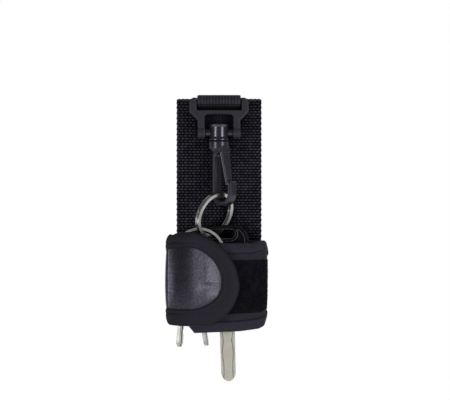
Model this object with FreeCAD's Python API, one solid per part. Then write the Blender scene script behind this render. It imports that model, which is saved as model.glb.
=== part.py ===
"""Belt key clip: a webbing belt loop, a swivel snap hook on it, and a padded wrap round the keys.

Millimetres. +Z is up, +X is to the right as the clip is seen from its front, and -Y is the front.
The origin is the middle of the tunnel that the belt passes through, along X. Most depths are
given as a distance ahead of the webbing's front face, which forward() turns into Y.
"""
import FreeCAD, Part
import math
import os
from FreeCAD import Placement, Rotation, Vector

# Webbing belt loop
WEBBING_WIDTH = 50.0
WEBBING_THICKNESS = 2.0
BELT_GAP = 6.0
BELT_HEIGHT = 52.0
LOOP_TURN = 6.5
LAP_LENGTH = 18.0
WEBBING_BOTTOM = -100.0

# Hanger strap
STRAP_WIDTH = 25.4
STRAP_THICKNESS = 1.6
STRAP_FIT = 0.2
STRAP_LEAVES = 19.8
STRAP_INNER_END = 11.0
STRAP_OUTER_END = 13.5

# Hook frame
HOOK_AHEAD = 8.6
BAR_Z = 26.2
BAR_RADIUS = 1.7
FRAME_HALF_WIDTH = 17.3
FRAME_TOP = 28.0
FRAME_THICKNESS = 4.4
FRAME_CHAMFER = 2.0
SLOT_HALF_WIDTH = 13.3
SLOT_BOTTOM = 20.6
CROSS_BAR_BOTTOM = 18.2
SHOULDER_BOTTOM = 19.6
LEG_TOP = 14.8
LEG_INNER = 8.3
LEG_OUTER = 12.4
TRUNNION_Z = 7.6
EYE_RADIUS = 3.3
PIVOT_FIT = 0.08

# Swivel barrel
TRUNNION_RADIUS = 1.5
BARREL_RADIUS = 6.0
BARREL_WAIST = 5.6
BARREL_WAIST_HEIGHT = 5.8
BARREL_BOTTOM = 3.2
BARREL_TOP = 12.8
STEM_RADIUS = 2.1
STEM_HEAD_RADIUS = 3.2
STEM_SEAT = 9.4
STEM_HEAD_HEIGHT = 1.8

# Snap hook, in its own plane: u runs from the spine to the nose, v across the plane
HOOK_TURN = -45.0
HOOK_WIDTH = 6.2
COLLAR_TOP = 2.4
COLLAR_BOTTOM = -1.6
COLLAR_NECK = -3.6
BLOCK_BOTTOM = -4.6
BLOCK_END_U = 6.2
SPINE_INNER_U = -0.2
SPINE_THICKNESS = 3.0
EYE_WIDTH = 9.6
NOSE_THICKNESS = 2.6
NOSE_TOP = -20.3
BEND_Z = -27.4
BEND_THICKNESS = 3.1
GATE_U = 5.1
GATE_Z = -5.0
GATE_THICKNESS = 1.6
GATE_TIP_Z = -22.6
GATE_ROOT_WIDTH = 6.0
GATE_TIP_WIDTH = 3.6
GATE_FIT = 0.3

# Split rings
RING_JOG = 30.0
RING_LAYER_GAP = 0.4
MAIN_RING_RADIUS = 12.9
MAIN_RING_RADIAL = 2.0
MAIN_RING_LAYER = 1.05
MAIN_RING_SLACK = 2.5
MAIN_RING_LEAN = 27.0
MAIN_RING_TURN = 50.0
LEFT_RING_RADIUS = 14.1
LEFT_RING_RADIAL = 1.5
LEFT_RING_LAYER = 0.9
LEFT_RING_AHEAD = 10.3
LEFT_RING_LEAN = 21.6
LINK_ROOM = 2.1

# Car key
CAR_HEAD_AHEAD = 7.0
CAR_HEAD_THICKNESS = 3.8
CAR_HEAD_WIDTH = 28.0
CAR_HEAD_HEIGHT = 40.0
CAR_HEAD_TOP = Vector(3.0, 0, -46.4)
CAR_KEY_LEAN = 1.7
CAR_SLOT_LENGTH = 18.2
CAR_SLOT_HEIGHT = 5.6
CAR_SLOT_X = -2.8
CAR_SLOT_Z = -5.1
CAR_RIM_WIDTH = 2.4
CAR_RIM_RISE = 0.5
CAR_SLOT_BEAD = 1.5
CAR_RIM_BOTTOM = -27.0
CAR_BLADE_WIDTH = 9.2
CAR_BLADE_TIP_WIDTH = 8.4
CAR_BLADE_THICKNESS = 2.4
CAR_BLADE_LENGTH = 51.0
CAR_BLADE_HELD = 8.0
CAR_TRACK_DEPTH = 0.6

# Small keys
KEY_THICKNESS = 1.9
KEY_BOW_WIDTH = 10.6
KEY_BOW_HEIGHT = 17.0
KEY_BLADE_WIDTH = 6.4
KEY_HOLE_RADIUS = 3.3
KEY_HOLE_DROP = 0.1
KEY_AHEAD = 9.7
LEFT_KEY_LENGTH = 43.0
LEFT_KEY_ON_RING = 236.0
LEFT_KEY_LEAN = -5.2
LEFT_KEY_TURN = 72.0
MIDDLE_KEY_LENGTH = 40.5
MIDDLE_KEY_ON_RING = 260.0
MIDDLE_KEY_LEAN = 9.4
MIDDLE_KEY_TURN = 80.0

# Wrap: the flap stands furthest ahead at the left fold, and slopes back to the right over the wing
WRAP_DEPTH = 22.4
WRAP_SLOPE = 7.0
BACK_THICKNESS = 2.4
WING_THICKNESS = 2.0
PILE_THICKNESS = 0.7
LAYER_GAP = 0.3
FLAP_THICKNESS = 2.2
PATCH_THICKNESS = 0.8
BINDING_THICKNESS = 0.6
BINDING_WIDTH = 6.4
BACK_BINDING_WIDTH = 7.0
LOOP_TOP_INSET = 10.2
LOOP_BOTTOM_INSET = 9.5
LOOP_LEFT = -15.0
HOOK_FIELD_X = (-13.0, 6.0)
HOOK_FIELD_Z = (-93.0, -68.0)
PATCH_SEAM = 0.4
WRAP_LEFT = -30.4
WRAP_RIGHT = 28.2
FOLD_SEAM = 0.4
STRIP_MARGIN = 15.0
STRIP_HEIGHT = 75.0

# Lines worked out from the sizes above
WEBBING_FRONT = -BELT_GAP / 2 - WEBBING_THICKNESS
TUNNEL_TOP = BELT_HEIGHT / 2
SLOPE_TAN = math.tan(math.radians(WRAP_SLOPE))
SLOPE_SEC = 1 / math.cos(math.radians(WRAP_SLOPE))
FLAP_OVER_WING = FLAP_THICKNESS + 2 * PILE_THICKNESS + LAYER_GAP
LEFT_FOLD_RADIUS = WRAP_DEPTH / 2
LEFT_FOLD_X = WRAP_LEFT + LEFT_FOLD_RADIUS
WING_AT_RIGHT = (
    LEFT_FOLD_RADIUS * (1 + SLOPE_SEC) - FLAP_OVER_WING * SLOPE_SEC - (WRAP_RIGHT - LEFT_FOLD_X) * SLOPE_TAN
)
RIGHT_FOLD_RADIUS = WING_AT_RIGHT / (1 + SLOPE_SEC - SLOPE_TAN)
RIGHT_FOLD_X = WRAP_RIGHT - RIGHT_FOLD_RADIUS
STRIP_BOTTOM = WEBBING_BOTTOM - STRIP_MARGIN
EYE_U = SPINE_INNER_U + EYE_WIDTH / 2
SADDLE_Z = BEND_Z - EYE_WIDTH / 2


def forward(distance):
    """Y of a point this far ahead of the webbing's front face."""
    return WEBBING_FRONT - distance


def box(x_low, x_high, y_low, y_high, z_low, z_high):
    return Part.makeBox(x_high - x_low, y_high - y_low, z_high - z_low, Vector(x_low, y_low, z_low))


def outline(start, steps, place):
    """Closed wire of lines and arcs. A step is a point, or a pair (point on the arc, end)."""
    here = place(*start)
    edges = []
    for step in steps:
        if isinstance(step[0], tuple):
            through, end = place(*step[0]), place(*step[1])
            edges.append(Part.Arc(here, through, end).toShape())
        else:
            end = place(*step)
            edges.append(Part.makeLine(here, end))
        here = end
    if not here.isEqual(place(*start), 1e-6):
        edges.append(Part.makeLine(here, place(*start)))
    return Part.Wire(edges)


def on_front(x, z):
    """A point of an outline drawn as seen from the front."""
    return Vector(x, 0, z)


def on_side(ahead, z):
    """A point of a profile drawn as seen along X."""
    return Vector(0, forward(ahead), z)


def along_x(wire, half_width):
    face = Part.Face(wire)
    face.translate(Vector(-half_width, 0, 0))
    return face.extrude(Vector(2 * half_width, 0, 0))


def through_depth(wire, near=-2.0, far=40.0):
    """Prism of a front outline, running from near to far ahead of the webbing."""
    face = Part.Face(wire)
    face.translate(Vector(0, forward(near), 0))
    return face.extrude(Vector(0, near - far, 0))


def rod(start, end, radius):
    return Part.makeCylinder(radius, (end - start).Length, start, end - start)


def turned(profile):
    """Solid of revolution about Z from (radius, z) points."""
    wire = outline(profile[0], profile[1:], on_front)
    return Part.Face(wire).revolve(Vector(0, 0, 0), Vector(0, 0, 1), 360)


def eased(solid, size, chosen):
    return solid.makeChamfer(size, [edge for edge in solid.Edges if chosen(edge)])


# The belt loop: the back leg turns forward under the tunnel and laps the front leg
def belt_loop_webbing():
    inner = BELT_GAP / 2
    outer = inner + WEBBING_THICKNESS
    arch = TUNNEL_TOP - inner
    turn = -TUNNEL_TOP - LOOP_TURN
    lap_end = turn - LAP_LENGTH
    lap_back = WEBBING_THICKNESS - inner

    def place(y, z):
        return Vector(0, y, z)

    body = outline(
        (-outer, WEBBING_BOTTOM),
        [
            (-outer, arch),
            ((0, arch + outer), (outer, arch)),
            (outer, -TUNNEL_TOP),
            (lap_back, turn),
            (lap_back, lap_end),
            (-inner, lap_end),
            (-inner, WEBBING_BOTTOM),
        ],
        place,
    )
    tunnel = outline(
        (-inner, turn + WEBBING_THICKNESS),
        [(-inner, arch), ((0, arch + inner), (inner, arch)), (inner, -TUNNEL_TOP + 0.8)],
        place,
    )
    half = WEBBING_WIDTH / 2
    return along_x(body, half).cut(along_x(tunnel, half + 1))


# The hanger strap: two sewn layers on the webbing, and a loop round the frame's bar
def hanger_strap():
    half = STRAP_WIDTH / 2
    thick = STRAP_THICKNESS
    radius = BAR_RADIUS + STRAP_FIT + thick / 2
    layers = box(-half, half, forward(thick), forward(0), STRAP_INNER_END, STRAP_LEAVES)
    layers = layers.fuse(
        box(-half, half, forward(2 * thick), forward(thick), STRAP_OUTER_END, STRAP_LEAVES)
    )
    pieces = []
    for layer, side in ((0.5, 1), (1.5, -1)):
        foot = Vector(layer * thick, STRAP_LEAVES, 0)
        bar = Vector(HOOK_AHEAD, BAR_Z, 0)
        reach = bar - foot
        swing = math.degrees(math.asin(radius / reach.Length))
        run = Rotation(Vector(0, 0, 1), side * swing).multVec(reach)
        run.normalize()
        run_length = math.sqrt(reach.Length**2 - radius**2)
        slab = Part.makeBox(2 * half, thick, run_length, Vector(-half, -thick / 2, 0))
        slope = math.degrees(math.atan2(run.x, run.y))
        slab.Placement = Placement(on_side(foot.x, foot.y), Rotation(Vector(1, 0, 0), slope))
        pieces.append(slab)
        start = Vector(-half, forward(foot.x), foot.y)
        pieces.append(rod(start, start + Vector(2 * half, 0, 0), thick / 2))
    left = Vector(-half, forward(HOOK_AHEAD), BAR_Z)
    across = Vector(2 * half, 0, 0)
    ring = rod(left, left + across, radius + thick / 2).cut(rod(left, left + across, radius - thick / 2))
    behind = box(-half, half, forward(HOOK_AHEAD - 1.0), forward(0), BAR_Z - 1.4, BAR_Z + 0.6)
    strap = layers.fuse(pieces + [ring.cut(behind)])
    return strap.cut(rod(left, left + across, radius - thick / 2)).removeSplitter()


# The hook frame: shoulders, slot and bar for the strap, and two legs with pivot eyes
def hook_frame():
    half = FRAME_HALF_WIDTH
    near = HOOK_AHEAD - FRAME_THICKNESS / 2
    far = HOOK_AHEAD + FRAME_THICKNESS / 2
    plate = outline(
        (-half, SHOULDER_BOTTOM),
        [
            (-half, FRAME_TOP - FRAME_CHAMFER),
            (-half + FRAME_CHAMFER, FRAME_TOP),
            (half - FRAME_CHAMFER, FRAME_TOP),
            (half, FRAME_TOP - FRAME_CHAMFER),
            (half, SHOULDER_BOTTOM),
            (LEG_OUTER, LEG_TOP),
            (LEG_OUTER, TRUNNION_Z),
            (LEG_INNER, TRUNNION_Z),
            (LEG_INNER, CROSS_BAR_BOTTOM - 1.2),
            (LEG_INNER - 1.2, CROSS_BAR_BOTTOM),
            (1.2 - LEG_INNER, CROSS_BAR_BOTTOM),
            (-LEG_INNER, CROSS_BAR_BOTTOM - 1.2),
            (-LEG_INNER, TRUNNION_Z),
            (-LEG_OUTER, TRUNNION_Z),
            (-LEG_OUTER, LEG_TOP),
        ],
        on_front,
    )
    frame = through_depth(plate, near, far)
    frame = eased(frame, 0.7, lambda edge: abs(edge.CenterOfMass.y - forward(HOOK_AHEAD)) > 1
                  and edge.CenterOfMass.z > TRUNNION_Z + 0.1)
    slot = box(-SLOT_HALF_WIDTH, SLOT_HALF_WIDTH, forward(far + 1), forward(near - 1), SLOT_BOTTOM, 40)
    frame = frame.cut(slot)
    y = forward(HOOK_AHEAD)
    ends = Vector(SLOT_HALF_WIDTH + 1, y, BAR_Z)
    frame = frame.fuse(rod(Vector(-ends.x, y, BAR_Z), ends, BAR_RADIUS))
    for side in (-1, 1):
        inner = Vector(side * LEG_INNER, y, TRUNNION_Z)
        outer = Vector(side * LEG_OUTER, y, TRUNNION_Z)
        frame = frame.fuse(rod(inner, outer, EYE_RADIUS))
    hole = rod(Vector(-20, y, TRUNNION_Z), Vector(20, y, TRUNNION_Z), TRUNNION_RADIUS + PIVOT_FIT)
    return frame.cut(hole).removeSplitter()


# The swivel barrel: a waisted sleeve that turns on its trunnions and carries the hook's stem
def swivel_barrel():
    middle = (BARREL_BOTTOM + BARREL_TOP) / 2
    bore = STEM_RADIUS + PIVOT_FIT
    well = STEM_HEAD_RADIUS + GATE_FIT
    rim = 0.6
    sleeve = turned(
        [
            (bore, BARREL_BOTTOM),
            (BARREL_RADIUS, BARREL_BOTTOM),
            (BARREL_RADIUS, BARREL_BOTTOM + rim),
            (BARREL_WAIST, middle - BARREL_WAIST_HEIGHT / 2),
            (BARREL_WAIST, middle + BARREL_WAIST_HEIGHT / 2),
            (BARREL_RADIUS, BARREL_TOP - rim),
            (BARREL_RADIUS - rim, BARREL_TOP),
            (well, BARREL_TOP),
            (well, STEM_SEAT),
            (bore, STEM_SEAT),
        ]
    )
    for side in (-1, 1):
        root = Vector(side * (well + 0.8), 0, TRUNNION_Z)
        boss = Vector(side * (LEG_INNER - GATE_FIT), 0, TRUNNION_Z)
        end = Vector(side * (LEG_OUTER - 0.2), 0, TRUNNION_Z)
        sleeve = sleeve.fuse([rod(root, boss, 2.4), rod(root, end, TRUNNION_RADIUS)])
    sleeve = sleeve.removeSplitter()
    sleeve.translate(Vector(0, forward(HOOK_AHEAD), 0))
    return sleeve


def hook_place():
    """Placement of the hook's plane: local X is u and local Z stays up."""
    return Placement(Vector(0, forward(HOOK_AHEAD), 0), Rotation(Vector(0, 0, 1), HOOK_TURN))


def hook_point(u, v, z):
    return hook_place().multVec(Vector(u, v, z))


# The snap hook: stem, collar, spine, bend and nose in one casting
def snap_hook():
    spine_outer = SPINE_INNER_U - SPINE_THICKNESS
    nose_inner = SPINE_INNER_U + EYE_WIDTH
    nose_outer = nose_inner + NOSE_THICKNESS
    middle = (spine_outer + nose_outer) / 2
    slope = 0.7071 * EYE_WIDTH / 2
    body = outline(
        (spine_outer, COLLAR_BOTTOM + 1),
        [
            (spine_outer, BEND_Z),
            ((middle, SADDLE_Z - BEND_THICKNESS), (nose_outer, BEND_Z)),
            (nose_outer, NOSE_TOP - 1.6),
            ((nose_outer - 0.7, NOSE_TOP - 0.4), (nose_inner + 0.6, NOSE_TOP)),
            (nose_inner, NOSE_TOP - 0.6),
            (nose_inner, BEND_Z),
            ((EYE_U + slope, BEND_Z - slope), (EYE_U, SADDLE_Z)),
            ((EYE_U - slope, BEND_Z - slope), (SPINE_INNER_U, BEND_Z)),
            (SPINE_INNER_U, BLOCK_BOTTOM - 2),
            ((SPINE_INNER_U + 0.6, BLOCK_BOTTOM - 0.6), (SPINE_INNER_U + 2, BLOCK_BOTTOM)),
            (BLOCK_END_U, BLOCK_BOTTOM),
            (BLOCK_END_U - 0.4, COLLAR_BOTTOM + 1),
        ],
        on_front,
    )
    casting = Part.Face(body)
    casting.translate(Vector(0, HOOK_WIDTH / 2, 0))
    casting = casting.extrude(Vector(0, -HOOK_WIDTH, 0))
    casting = eased(casting, 0.9, lambda edge: abs(edge.CenterOfMass.y) > HOOK_WIDTH / 2 - 0.01
                    and edge.CenterOfMass.z < BLOCK_BOTTOM - 2.1)
    stem_top = STEM_SEAT + 0.2
    collar = turned(
        [
            (0, COLLAR_NECK),
            (4.4, COLLAR_NECK),
            (BARREL_RADIUS, COLLAR_BOTTOM),
            (BARREL_RADIUS, COLLAR_TOP),
            (STEM_RADIUS, COLLAR_TOP),
            (STEM_RADIUS, stem_top),
            (STEM_HEAD_RADIUS, stem_top),
            (STEM_HEAD_RADIUS, stem_top + STEM_HEAD_HEIGHT),
            (0, stem_top + STEM_HEAD_HEIGHT),
        ]
    )
    pivot = Vector(GATE_U, -HOOK_WIDTH, GATE_Z)
    groove = Part.makeCylinder(GATE_THICKNESS / 2 + 0.2 + GATE_FIT, 2 * HOOK_WIDTH, pivot, Vector(0, 1, 0))
    hook = casting.fuse(collar).cut(groove).removeSplitter()
    hook.Placement = hook_place()
    return hook


# The gate: a sprung tongue, round at its root and narrower at its tip
def hook_gate():
    radius = GATE_THICKNESS / 2 + 0.2
    root = Part.makeCylinder(
        radius, GATE_ROOT_WIDTH, Vector(GATE_U, -GATE_ROOT_WIDTH / 2, GATE_Z), Vector(0, 1, 0)
    )
    tip_u = SPINE_INNER_U + EYE_WIDTH - GATE_FIT - GATE_THICKNESS / 2

    def section(u, z, width):
        low, high = u - GATE_THICKNESS / 2, u + GATE_THICKNESS / 2
        corners = [(low, -width / 2), (high, -width / 2), (high, width / 2), (low, width / 2)]
        return Part.makePolygon([Vector(a, b, z) for a, b in corners + corners[:1]])

    tongue = Part.makeLoft(
        [section(GATE_U, GATE_Z, GATE_ROOT_WIDTH), section(tip_u, GATE_TIP_Z, GATE_TIP_WIDTH)], True, True
    )
    gate = root.fuse(tongue).removeSplitter()
    gate.Placement = hook_place()
    return gate


def split_ring(radius, radial, layer):
    """Two flat turns of wire about Z, joined by a ramp that climbs from one to the other."""
    low, high = radius - radial / 2, radius + radial / 2
    pitch = layer + RING_LAYER_GAP
    base = -(layer + pitch) / 2

    def section(angle, z):
        turn = math.radians(angle)
        out = Vector(math.cos(turn), math.sin(turn), 0)
        rise = Vector(0, 0, layer)
        foot = Vector(0, 0, z)
        corners = [foot + out * low, foot + out * high, foot + out * high + rise, foot + out * low + rise]
        return Part.makePolygon(corners + corners[:1])

    def turn_of_wire(z):
        face = Part.Face(section(0, z))
        return face.revolve(Vector(0, 0, 0), Vector(0, 0, 1), 360 - RING_JOG)

    steps = 6
    climb = []
    for i in range(steps + 1):
        part = i / steps
        ease = part * part * (3 - 2 * part)
        climb.append(section(-RING_JOG * (1 - part), base + pitch * ease))
    ramp = Part.makeLoft(climb, True, True)
    return turn_of_wire(base).fuse([ramp, turn_of_wire(base + pitch)]).removeSplitter()


def main_ring_axes():
    """Down-left along the ring's long axis, left-forward across it, and its normal."""
    lean, turn = math.radians(MAIN_RING_LEAN), math.radians(MAIN_RING_TURN)
    down = Vector(-math.sin(lean), 0, -math.cos(lean))
    side = Vector(-math.cos(lean), 0, math.sin(lean)) * math.cos(turn) + Vector(0, -math.sin(turn), 0)
    return down, side, down.cross(side)


def main_ring_centre():
    eye = hook_point(EYE_U, 0, SADDLE_Z + MAIN_RING_RADIAL / 2 + MAIN_RING_SLACK)
    return eye + main_ring_axes()[0] * MAIN_RING_RADIUS


def main_ring_at(ahead):
    """The point of the main ring's lower half at this distance ahead of the webbing."""
    down, side, normal = main_ring_axes()
    centre = main_ring_centre()
    across = (forward(ahead) - centre.y) / (MAIN_RING_RADIUS * side.y)
    along = math.sqrt(1 - across * across)
    return centre + (down * along + side * across) * MAIN_RING_RADIUS


# The main split ring hangs in the hook's eye
def main_split_ring():
    ring = split_ring(MAIN_RING_RADIUS, MAIN_RING_RADIAL, MAIN_RING_LAYER)
    ring.Placement = Placement(main_ring_centre(), Rotation(*main_ring_axes(), "XYZ"))
    return ring


def left_ring_centre():
    lean = math.radians(LEFT_RING_LEAN)
    drop = LEFT_RING_RADIUS - LEFT_RING_RADIAL / 2 - LINK_ROOM
    return main_ring_at(LEFT_RING_AHEAD) + Vector(-math.sin(lean), 0, -math.cos(lean)) * drop


# The left split ring lies flat behind the main ring's lower end, which passes through it
def left_split_ring():
    ring = split_ring(LEFT_RING_RADIUS, LEFT_RING_RADIAL, LEFT_RING_LAYER)
    ring.Placement = Placement(left_ring_centre(), Rotation(Vector(1, 0, 0), -90))
    return ring


def car_key_place():
    top = Vector(CAR_HEAD_TOP.x, forward(CAR_HEAD_AHEAD), CAR_HEAD_TOP.z)
    return Placement(top, Rotation(Vector(0, 1, 0), -CAR_KEY_LEAN))


def slab(wire, thickness):
    """A front outline given a thickness, half to each side of its own plane."""
    face = Part.Face(wire)
    face.translate(Vector(0, thickness / 2, 0))
    return face.extrude(Vector(0, -thickness, 0))


def car_blade_blank():
    half, tip = CAR_BLADE_WIDTH / 2, CAR_BLADE_TIP_WIDTH / 2
    top = CAR_BLADE_HELD - CAR_HEAD_HEIGHT
    bottom = -CAR_HEAD_HEIGHT - CAR_BLADE_LENGTH
    wire = outline(
        (-half, top),
        [
            (half, top),
            (half, -CAR_HEAD_HEIGHT),
            (tip, bottom + 4.6),
            ((tip - 1.2, bottom + 1.6), (0.9, bottom)),
            (-0.9, bottom),
            ((1.2 - tip, bottom + 1.6), (-tip, bottom + 4.6)),
            (-half, -CAR_HEAD_HEIGHT),
        ],
        on_front,
    )
    return slab(wire, CAR_BLADE_THICKNESS)


# The car key's head: a moulded bow with a raised rim, and a beaded slot for the ring
def car_key_head():
    half = CAR_HEAD_WIDTH / 2
    wire = outline(
        (-half + 8, 0),
        [
            (half - 8, 0),
            ((half - 2.2, -2.8), (half, -10)),
            (half - 1, -26),
            ((half - 3, -33), (8, -CAR_HEAD_HEIGHT)),
            (-8, -CAR_HEAD_HEIGHT),
            ((3 - half, -33), (1 - half, -26)),
            (-half, -10),
            ((2.2 - half, -2.8), (-half + 8, 0)),
        ],
        on_front,
    )
    head = eased(slab(wire, CAR_HEAD_THICKNESS), 0.9,
                 lambda edge: abs(edge.CenterOfMass.y) > CAR_HEAD_THICKNESS / 2 - 0.01)
    flat, end = CAR_SLOT_LENGTH / 2 - CAR_SLOT_HEIGHT / 2, CAR_SLOT_LENGTH / 2
    low, high = CAR_SLOT_Z - CAR_SLOT_HEIGHT / 2, CAR_SLOT_Z + CAR_SLOT_HEIGHT / 2
    slot = outline(
        (CAR_SLOT_X - flat, low),
        [
            (CAR_SLOT_X + flat, low),
            ((CAR_SLOT_X + end, CAR_SLOT_Z), (CAR_SLOT_X + flat, high)),
            (CAR_SLOT_X - flat, high),
            ((CAR_SLOT_X - end, CAR_SLOT_Z), (CAR_SLOT_X - flat, low)),
        ],
        on_front,
    )
    panel = Part.Face(wire.makeOffset2D(-CAR_RIM_WIDTH)).cut(Part.Face(slot.makeOffset2D(CAR_SLOT_BEAD)))
    panel = panel.common(Part.Face(outline(
        (-half, CAR_RIM_BOTTOM), [(half, CAR_RIM_BOTTOM), (half, 0), (-half, 0)], on_front,
    )))
    for face in (-1, 1):
        sunk = panel.translated(Vector(0, face * CAR_HEAD_THICKNESS / 2, 0))
        head = head.cut(sunk.extrude(Vector(0, -face * CAR_RIM_RISE, 0)))
    head = head.cut(slab(slot, 2 * CAR_HEAD_THICKNESS)).cut(car_blade_blank())
    head.Placement = car_key_place()
    return head


# The car key's blade, with a wavy milled track along each edge of both faces
def car_key_blade():
    blade = car_blade_blank()
    top, bottom = -CAR_HEAD_HEIGHT - 3, -CAR_HEAD_HEIGHT - CAR_BLADE_LENGTH - 1
    waves = 8
    for side in (-1, 1):
        points = []
        for i in range(waves + 1):
            z = top + (bottom - top) * i / waves
            points.append(Vector(side * (2.6 + 0.45 * math.cos(i * 2.4)), 0, z))
        edge = [Part.Arc(*points[i:i + 3]).toShape() for i in range(0, waves, 2)]
        outer = [points[-1], Vector(side * 9, 0, bottom), Vector(side * 9, 0, top), points[0]]
        wire = Part.Wire(edge + Part.makePolygon(outer).Edges)
        for face in (-1, 1):
            track = slab(wire, CAR_BLADE_THICKNESS)
            track.translate(Vector(0, face * (CAR_BLADE_THICKNESS - CAR_TRACK_DEPTH), 0))
            blade = blade.cut(track)
    blade.Placement = car_key_place()
    return blade


def small_key(length, cuts):
    """A flat key hanging down from the middle of its hole, with notches along one edge."""
    bow, blade = KEY_BOW_WIDTH / 2, KEY_BLADE_WIDTH / 2
    top = KEY_HOLE_RADIUS + 2.2
    neck = top - KEY_BOW_HEIGHT
    wire = outline(
        (-bow, top - bow),
        [
            ((0, top), (bow, top - bow)),
            (bow, neck + 2.5),
            ((bow - 0.8, neck + 0.7), (blade, neck)),
            (blade, 2 - length),
            (0.8, -length),
            (-0.8, -length),
            (-blade, 2 - length),
            (-blade, neck),
            ((0.8 - bow, neck + 0.7), (-bow, neck + 2.5)),
        ],
        on_front,
    )
    key = slab(wire, KEY_THICKNESS)
    key = key.cut(Part.makeCylinder(KEY_HOLE_RADIUS, 8, Vector(0, -4, 0), Vector(0, 1, 0)))
    for i, depth in enumerate(cuts):
        z = neck - 5.5 - 3.4 * i
        notch = outline(
            (blade + 1, z + 1.9 + depth),
            [(blade - depth, z + 0.6), (blade - depth, z - 0.6), (blade + 1, z - 1.9 - depth)],
            on_front,
        )
        key = key.cut(slab(notch, 2 * KEY_THICKNESS))
    groove = box(-1.0, 0.6, -KEY_THICKNESS, -KEY_THICKNESS / 2 + 0.45, -length - 1, neck - 1.5)
    return key.cut(groove)


def key_place(on_ring, lean, turn):
    """A key hung on the left ring: its hole sits a little below the wire."""
    angle = math.radians(on_ring)
    centre = left_ring_centre()
    wire = centre + Vector(math.cos(angle), 0, math.sin(angle)) * LEFT_RING_RADIUS
    swing = Rotation(Vector(0, 1, 0), -lean)
    hole = Vector(wire.x, forward(KEY_AHEAD), wire.z) + swing.multVec(Vector(0, 0, -KEY_HOLE_DROP))
    return Placement(hole, swing.multiply(Rotation(Vector(0, 0, 1), turn)))


# The two small keys hang edge-on from the left ring
def left_small_key():
    key = small_key(LEFT_KEY_LENGTH, (1.2, 2.0, 0.8, 1.6, 1.1, 1.9))
    key.Placement = key_place(LEFT_KEY_ON_RING, LEFT_KEY_LEAN, LEFT_KEY_TURN)
    return key


def middle_small_key():
    key = small_key(MIDDLE_KEY_LENGTH, (1.8, 0.9, 1.5, 2.1, 1.0))
    key.Placement = key_place(MIDDLE_KEY_ON_RING, MIDDLE_KEY_LEAN, MIDDLE_KEY_TURN)
    return key


def strip(side, ahead, d_low, d_high, reach):
    """A layer of the wrap seen from above, raised through its height.

    It starts at the outermost line of a fold (side -1 left, +1 right), follows the fold
    forwards (ahead +1) or backwards (-1), and runs straight on to X = reach: level at the back,
    sloping back to the right at the front. d counts inwards from the outer face of the wrap.
    """
    radius, centre_x = LEFT_FOLD_RADIUS, LEFT_FOLD_X
    if side > 0:
        radius, centre_x = RIGHT_FOLD_RADIUS, RIGHT_FOLD_X
    first = FOLD_SEAM / 2 / radius
    slope = WRAP_SLOPE if ahead > 0 else 0
    last = math.radians(90 - side * slope)

    def at(angle, d):
        x = centre_x + side * (radius - d) * math.cos(angle)
        return Vector(x, forward(radius + ahead * (radius - d) * math.sin(angle)), STRIP_BOTTOM)

    def end(d):
        here = at(last, d)
        return here + Vector(reach - here.x, (reach - here.x) * math.tan(math.radians(slope)), 0)

    half = (first + last) / 2
    edges = [
        Part.Arc(at(first, d_low), at(half, d_low), at(last, d_low)).toShape(),
        Part.makeLine(at(last, d_low), end(d_low)),
        Part.makeLine(end(d_low), end(d_high)),
        Part.makeLine(end(d_high), at(last, d_high)),
        Part.Arc(at(last, d_high), at(half, d_high), at(first, d_high)).toShape(),
        Part.makeLine(at(first, d_high), at(first, d_low)),
    ]
    return Part.Face(Part.Wire(edges)).extrude(Vector(0, 0, STRIP_HEIGHT))


def flap_outline():
    return outline(
        (-35, -57.0),
        [
            (-30.3, -54.6),
            (-28.6, -51.6),
            (-23.0, -50.4),
            (-16.0, -50.1),
            ((3.3, -60.3), (12.3, -81.0)),
            ((5.6, -97.2), (-8.5, -104.9)),
            (-22.0, -105.0),
            (-28.0, -104.2),
            (-30.3, -102.0),
            (-35, -99.0),
        ],
        on_front,
    )


def patch_outline(grow=0.0):
    wire = outline(
        (-35, -61.6),
        [
            (-26.5, -59.2),
            (-18.6, -58.9),
            ((-3.5, -67.2), (1.8, -80.4)),
            ((-3.2, -90.9), (-15.5, -95.8)),
            (-35, -95.4),
        ],
        on_front,
    )
    return wire.makeOffset2D(grow) if grow else wire


def wing_outline(shift=0.0):
    return outline(
        (-17.4, -56.9 + shift),
        [
            (19.4, -56.6 + shift),
            (24.0, -55.3 + shift),
            (26.6, -55.3 + shift),
            (34.0, -61.4 + shift),
            (34.0, -97.6 + shift),
            (27.0, -104.6 + shift),
            (24.0, -106.5 + shift),
            (12.3, -108.1 + shift),
            (-14.2, -109.0 + shift),
            (-17.4, -105.0 + shift),
        ],
        on_front,
    )


def back_outline(shift=0.0):
    return outline(
        (-35, -57.0 + shift),
        [
            (-28.6, -52.6 + shift),
            (0, -53.6 + shift),
            (26.6, -55.7 + shift),
            (34.0, -61.4 + shift),
            (34.0, -97.6 + shift),
            (26.6, -104.6 + shift),
            (0, -105.4 + shift),
            (-28.0, -103.6 + shift),
            (-35, -99.0 + shift),
        ],
        on_front,
    )


def edge_bands(outline_of, width):
    """The top and bottom bands of an outline, as two prisms."""
    whole = through_depth(outline_of())
    return whole.cut(through_depth(outline_of(-width))), whole.cut(through_depth(outline_of(width)))


# The wrap's back panel is sewn to the webbing and turns forward at both folds
def wrap_back():
    left = strip(-1, -1, 0, BACK_THICKNESS, 0)
    right = strip(1, -1, 0, BACK_THICKNESS, 0)
    return left.fuse(right).common(through_depth(back_outline())).removeSplitter()


def back_binding(which):
    inner = BACK_THICKNESS + BINDING_THICKNESS
    left = strip(-1, -1, BACK_THICKNESS, inner, 0)
    right = strip(1, -1, BACK_THICKNESS, inner, 0)
    return left.fuse(right).common(edge_bands(back_outline, BACK_BINDING_WIDTH)[which]).removeSplitter()


# The flap closes from the left over the wing
def flap_panel():
    return strip(-1, 1, 0, FLAP_THICKNESS, WRAP_RIGHT).common(through_depth(flap_outline()))


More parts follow.
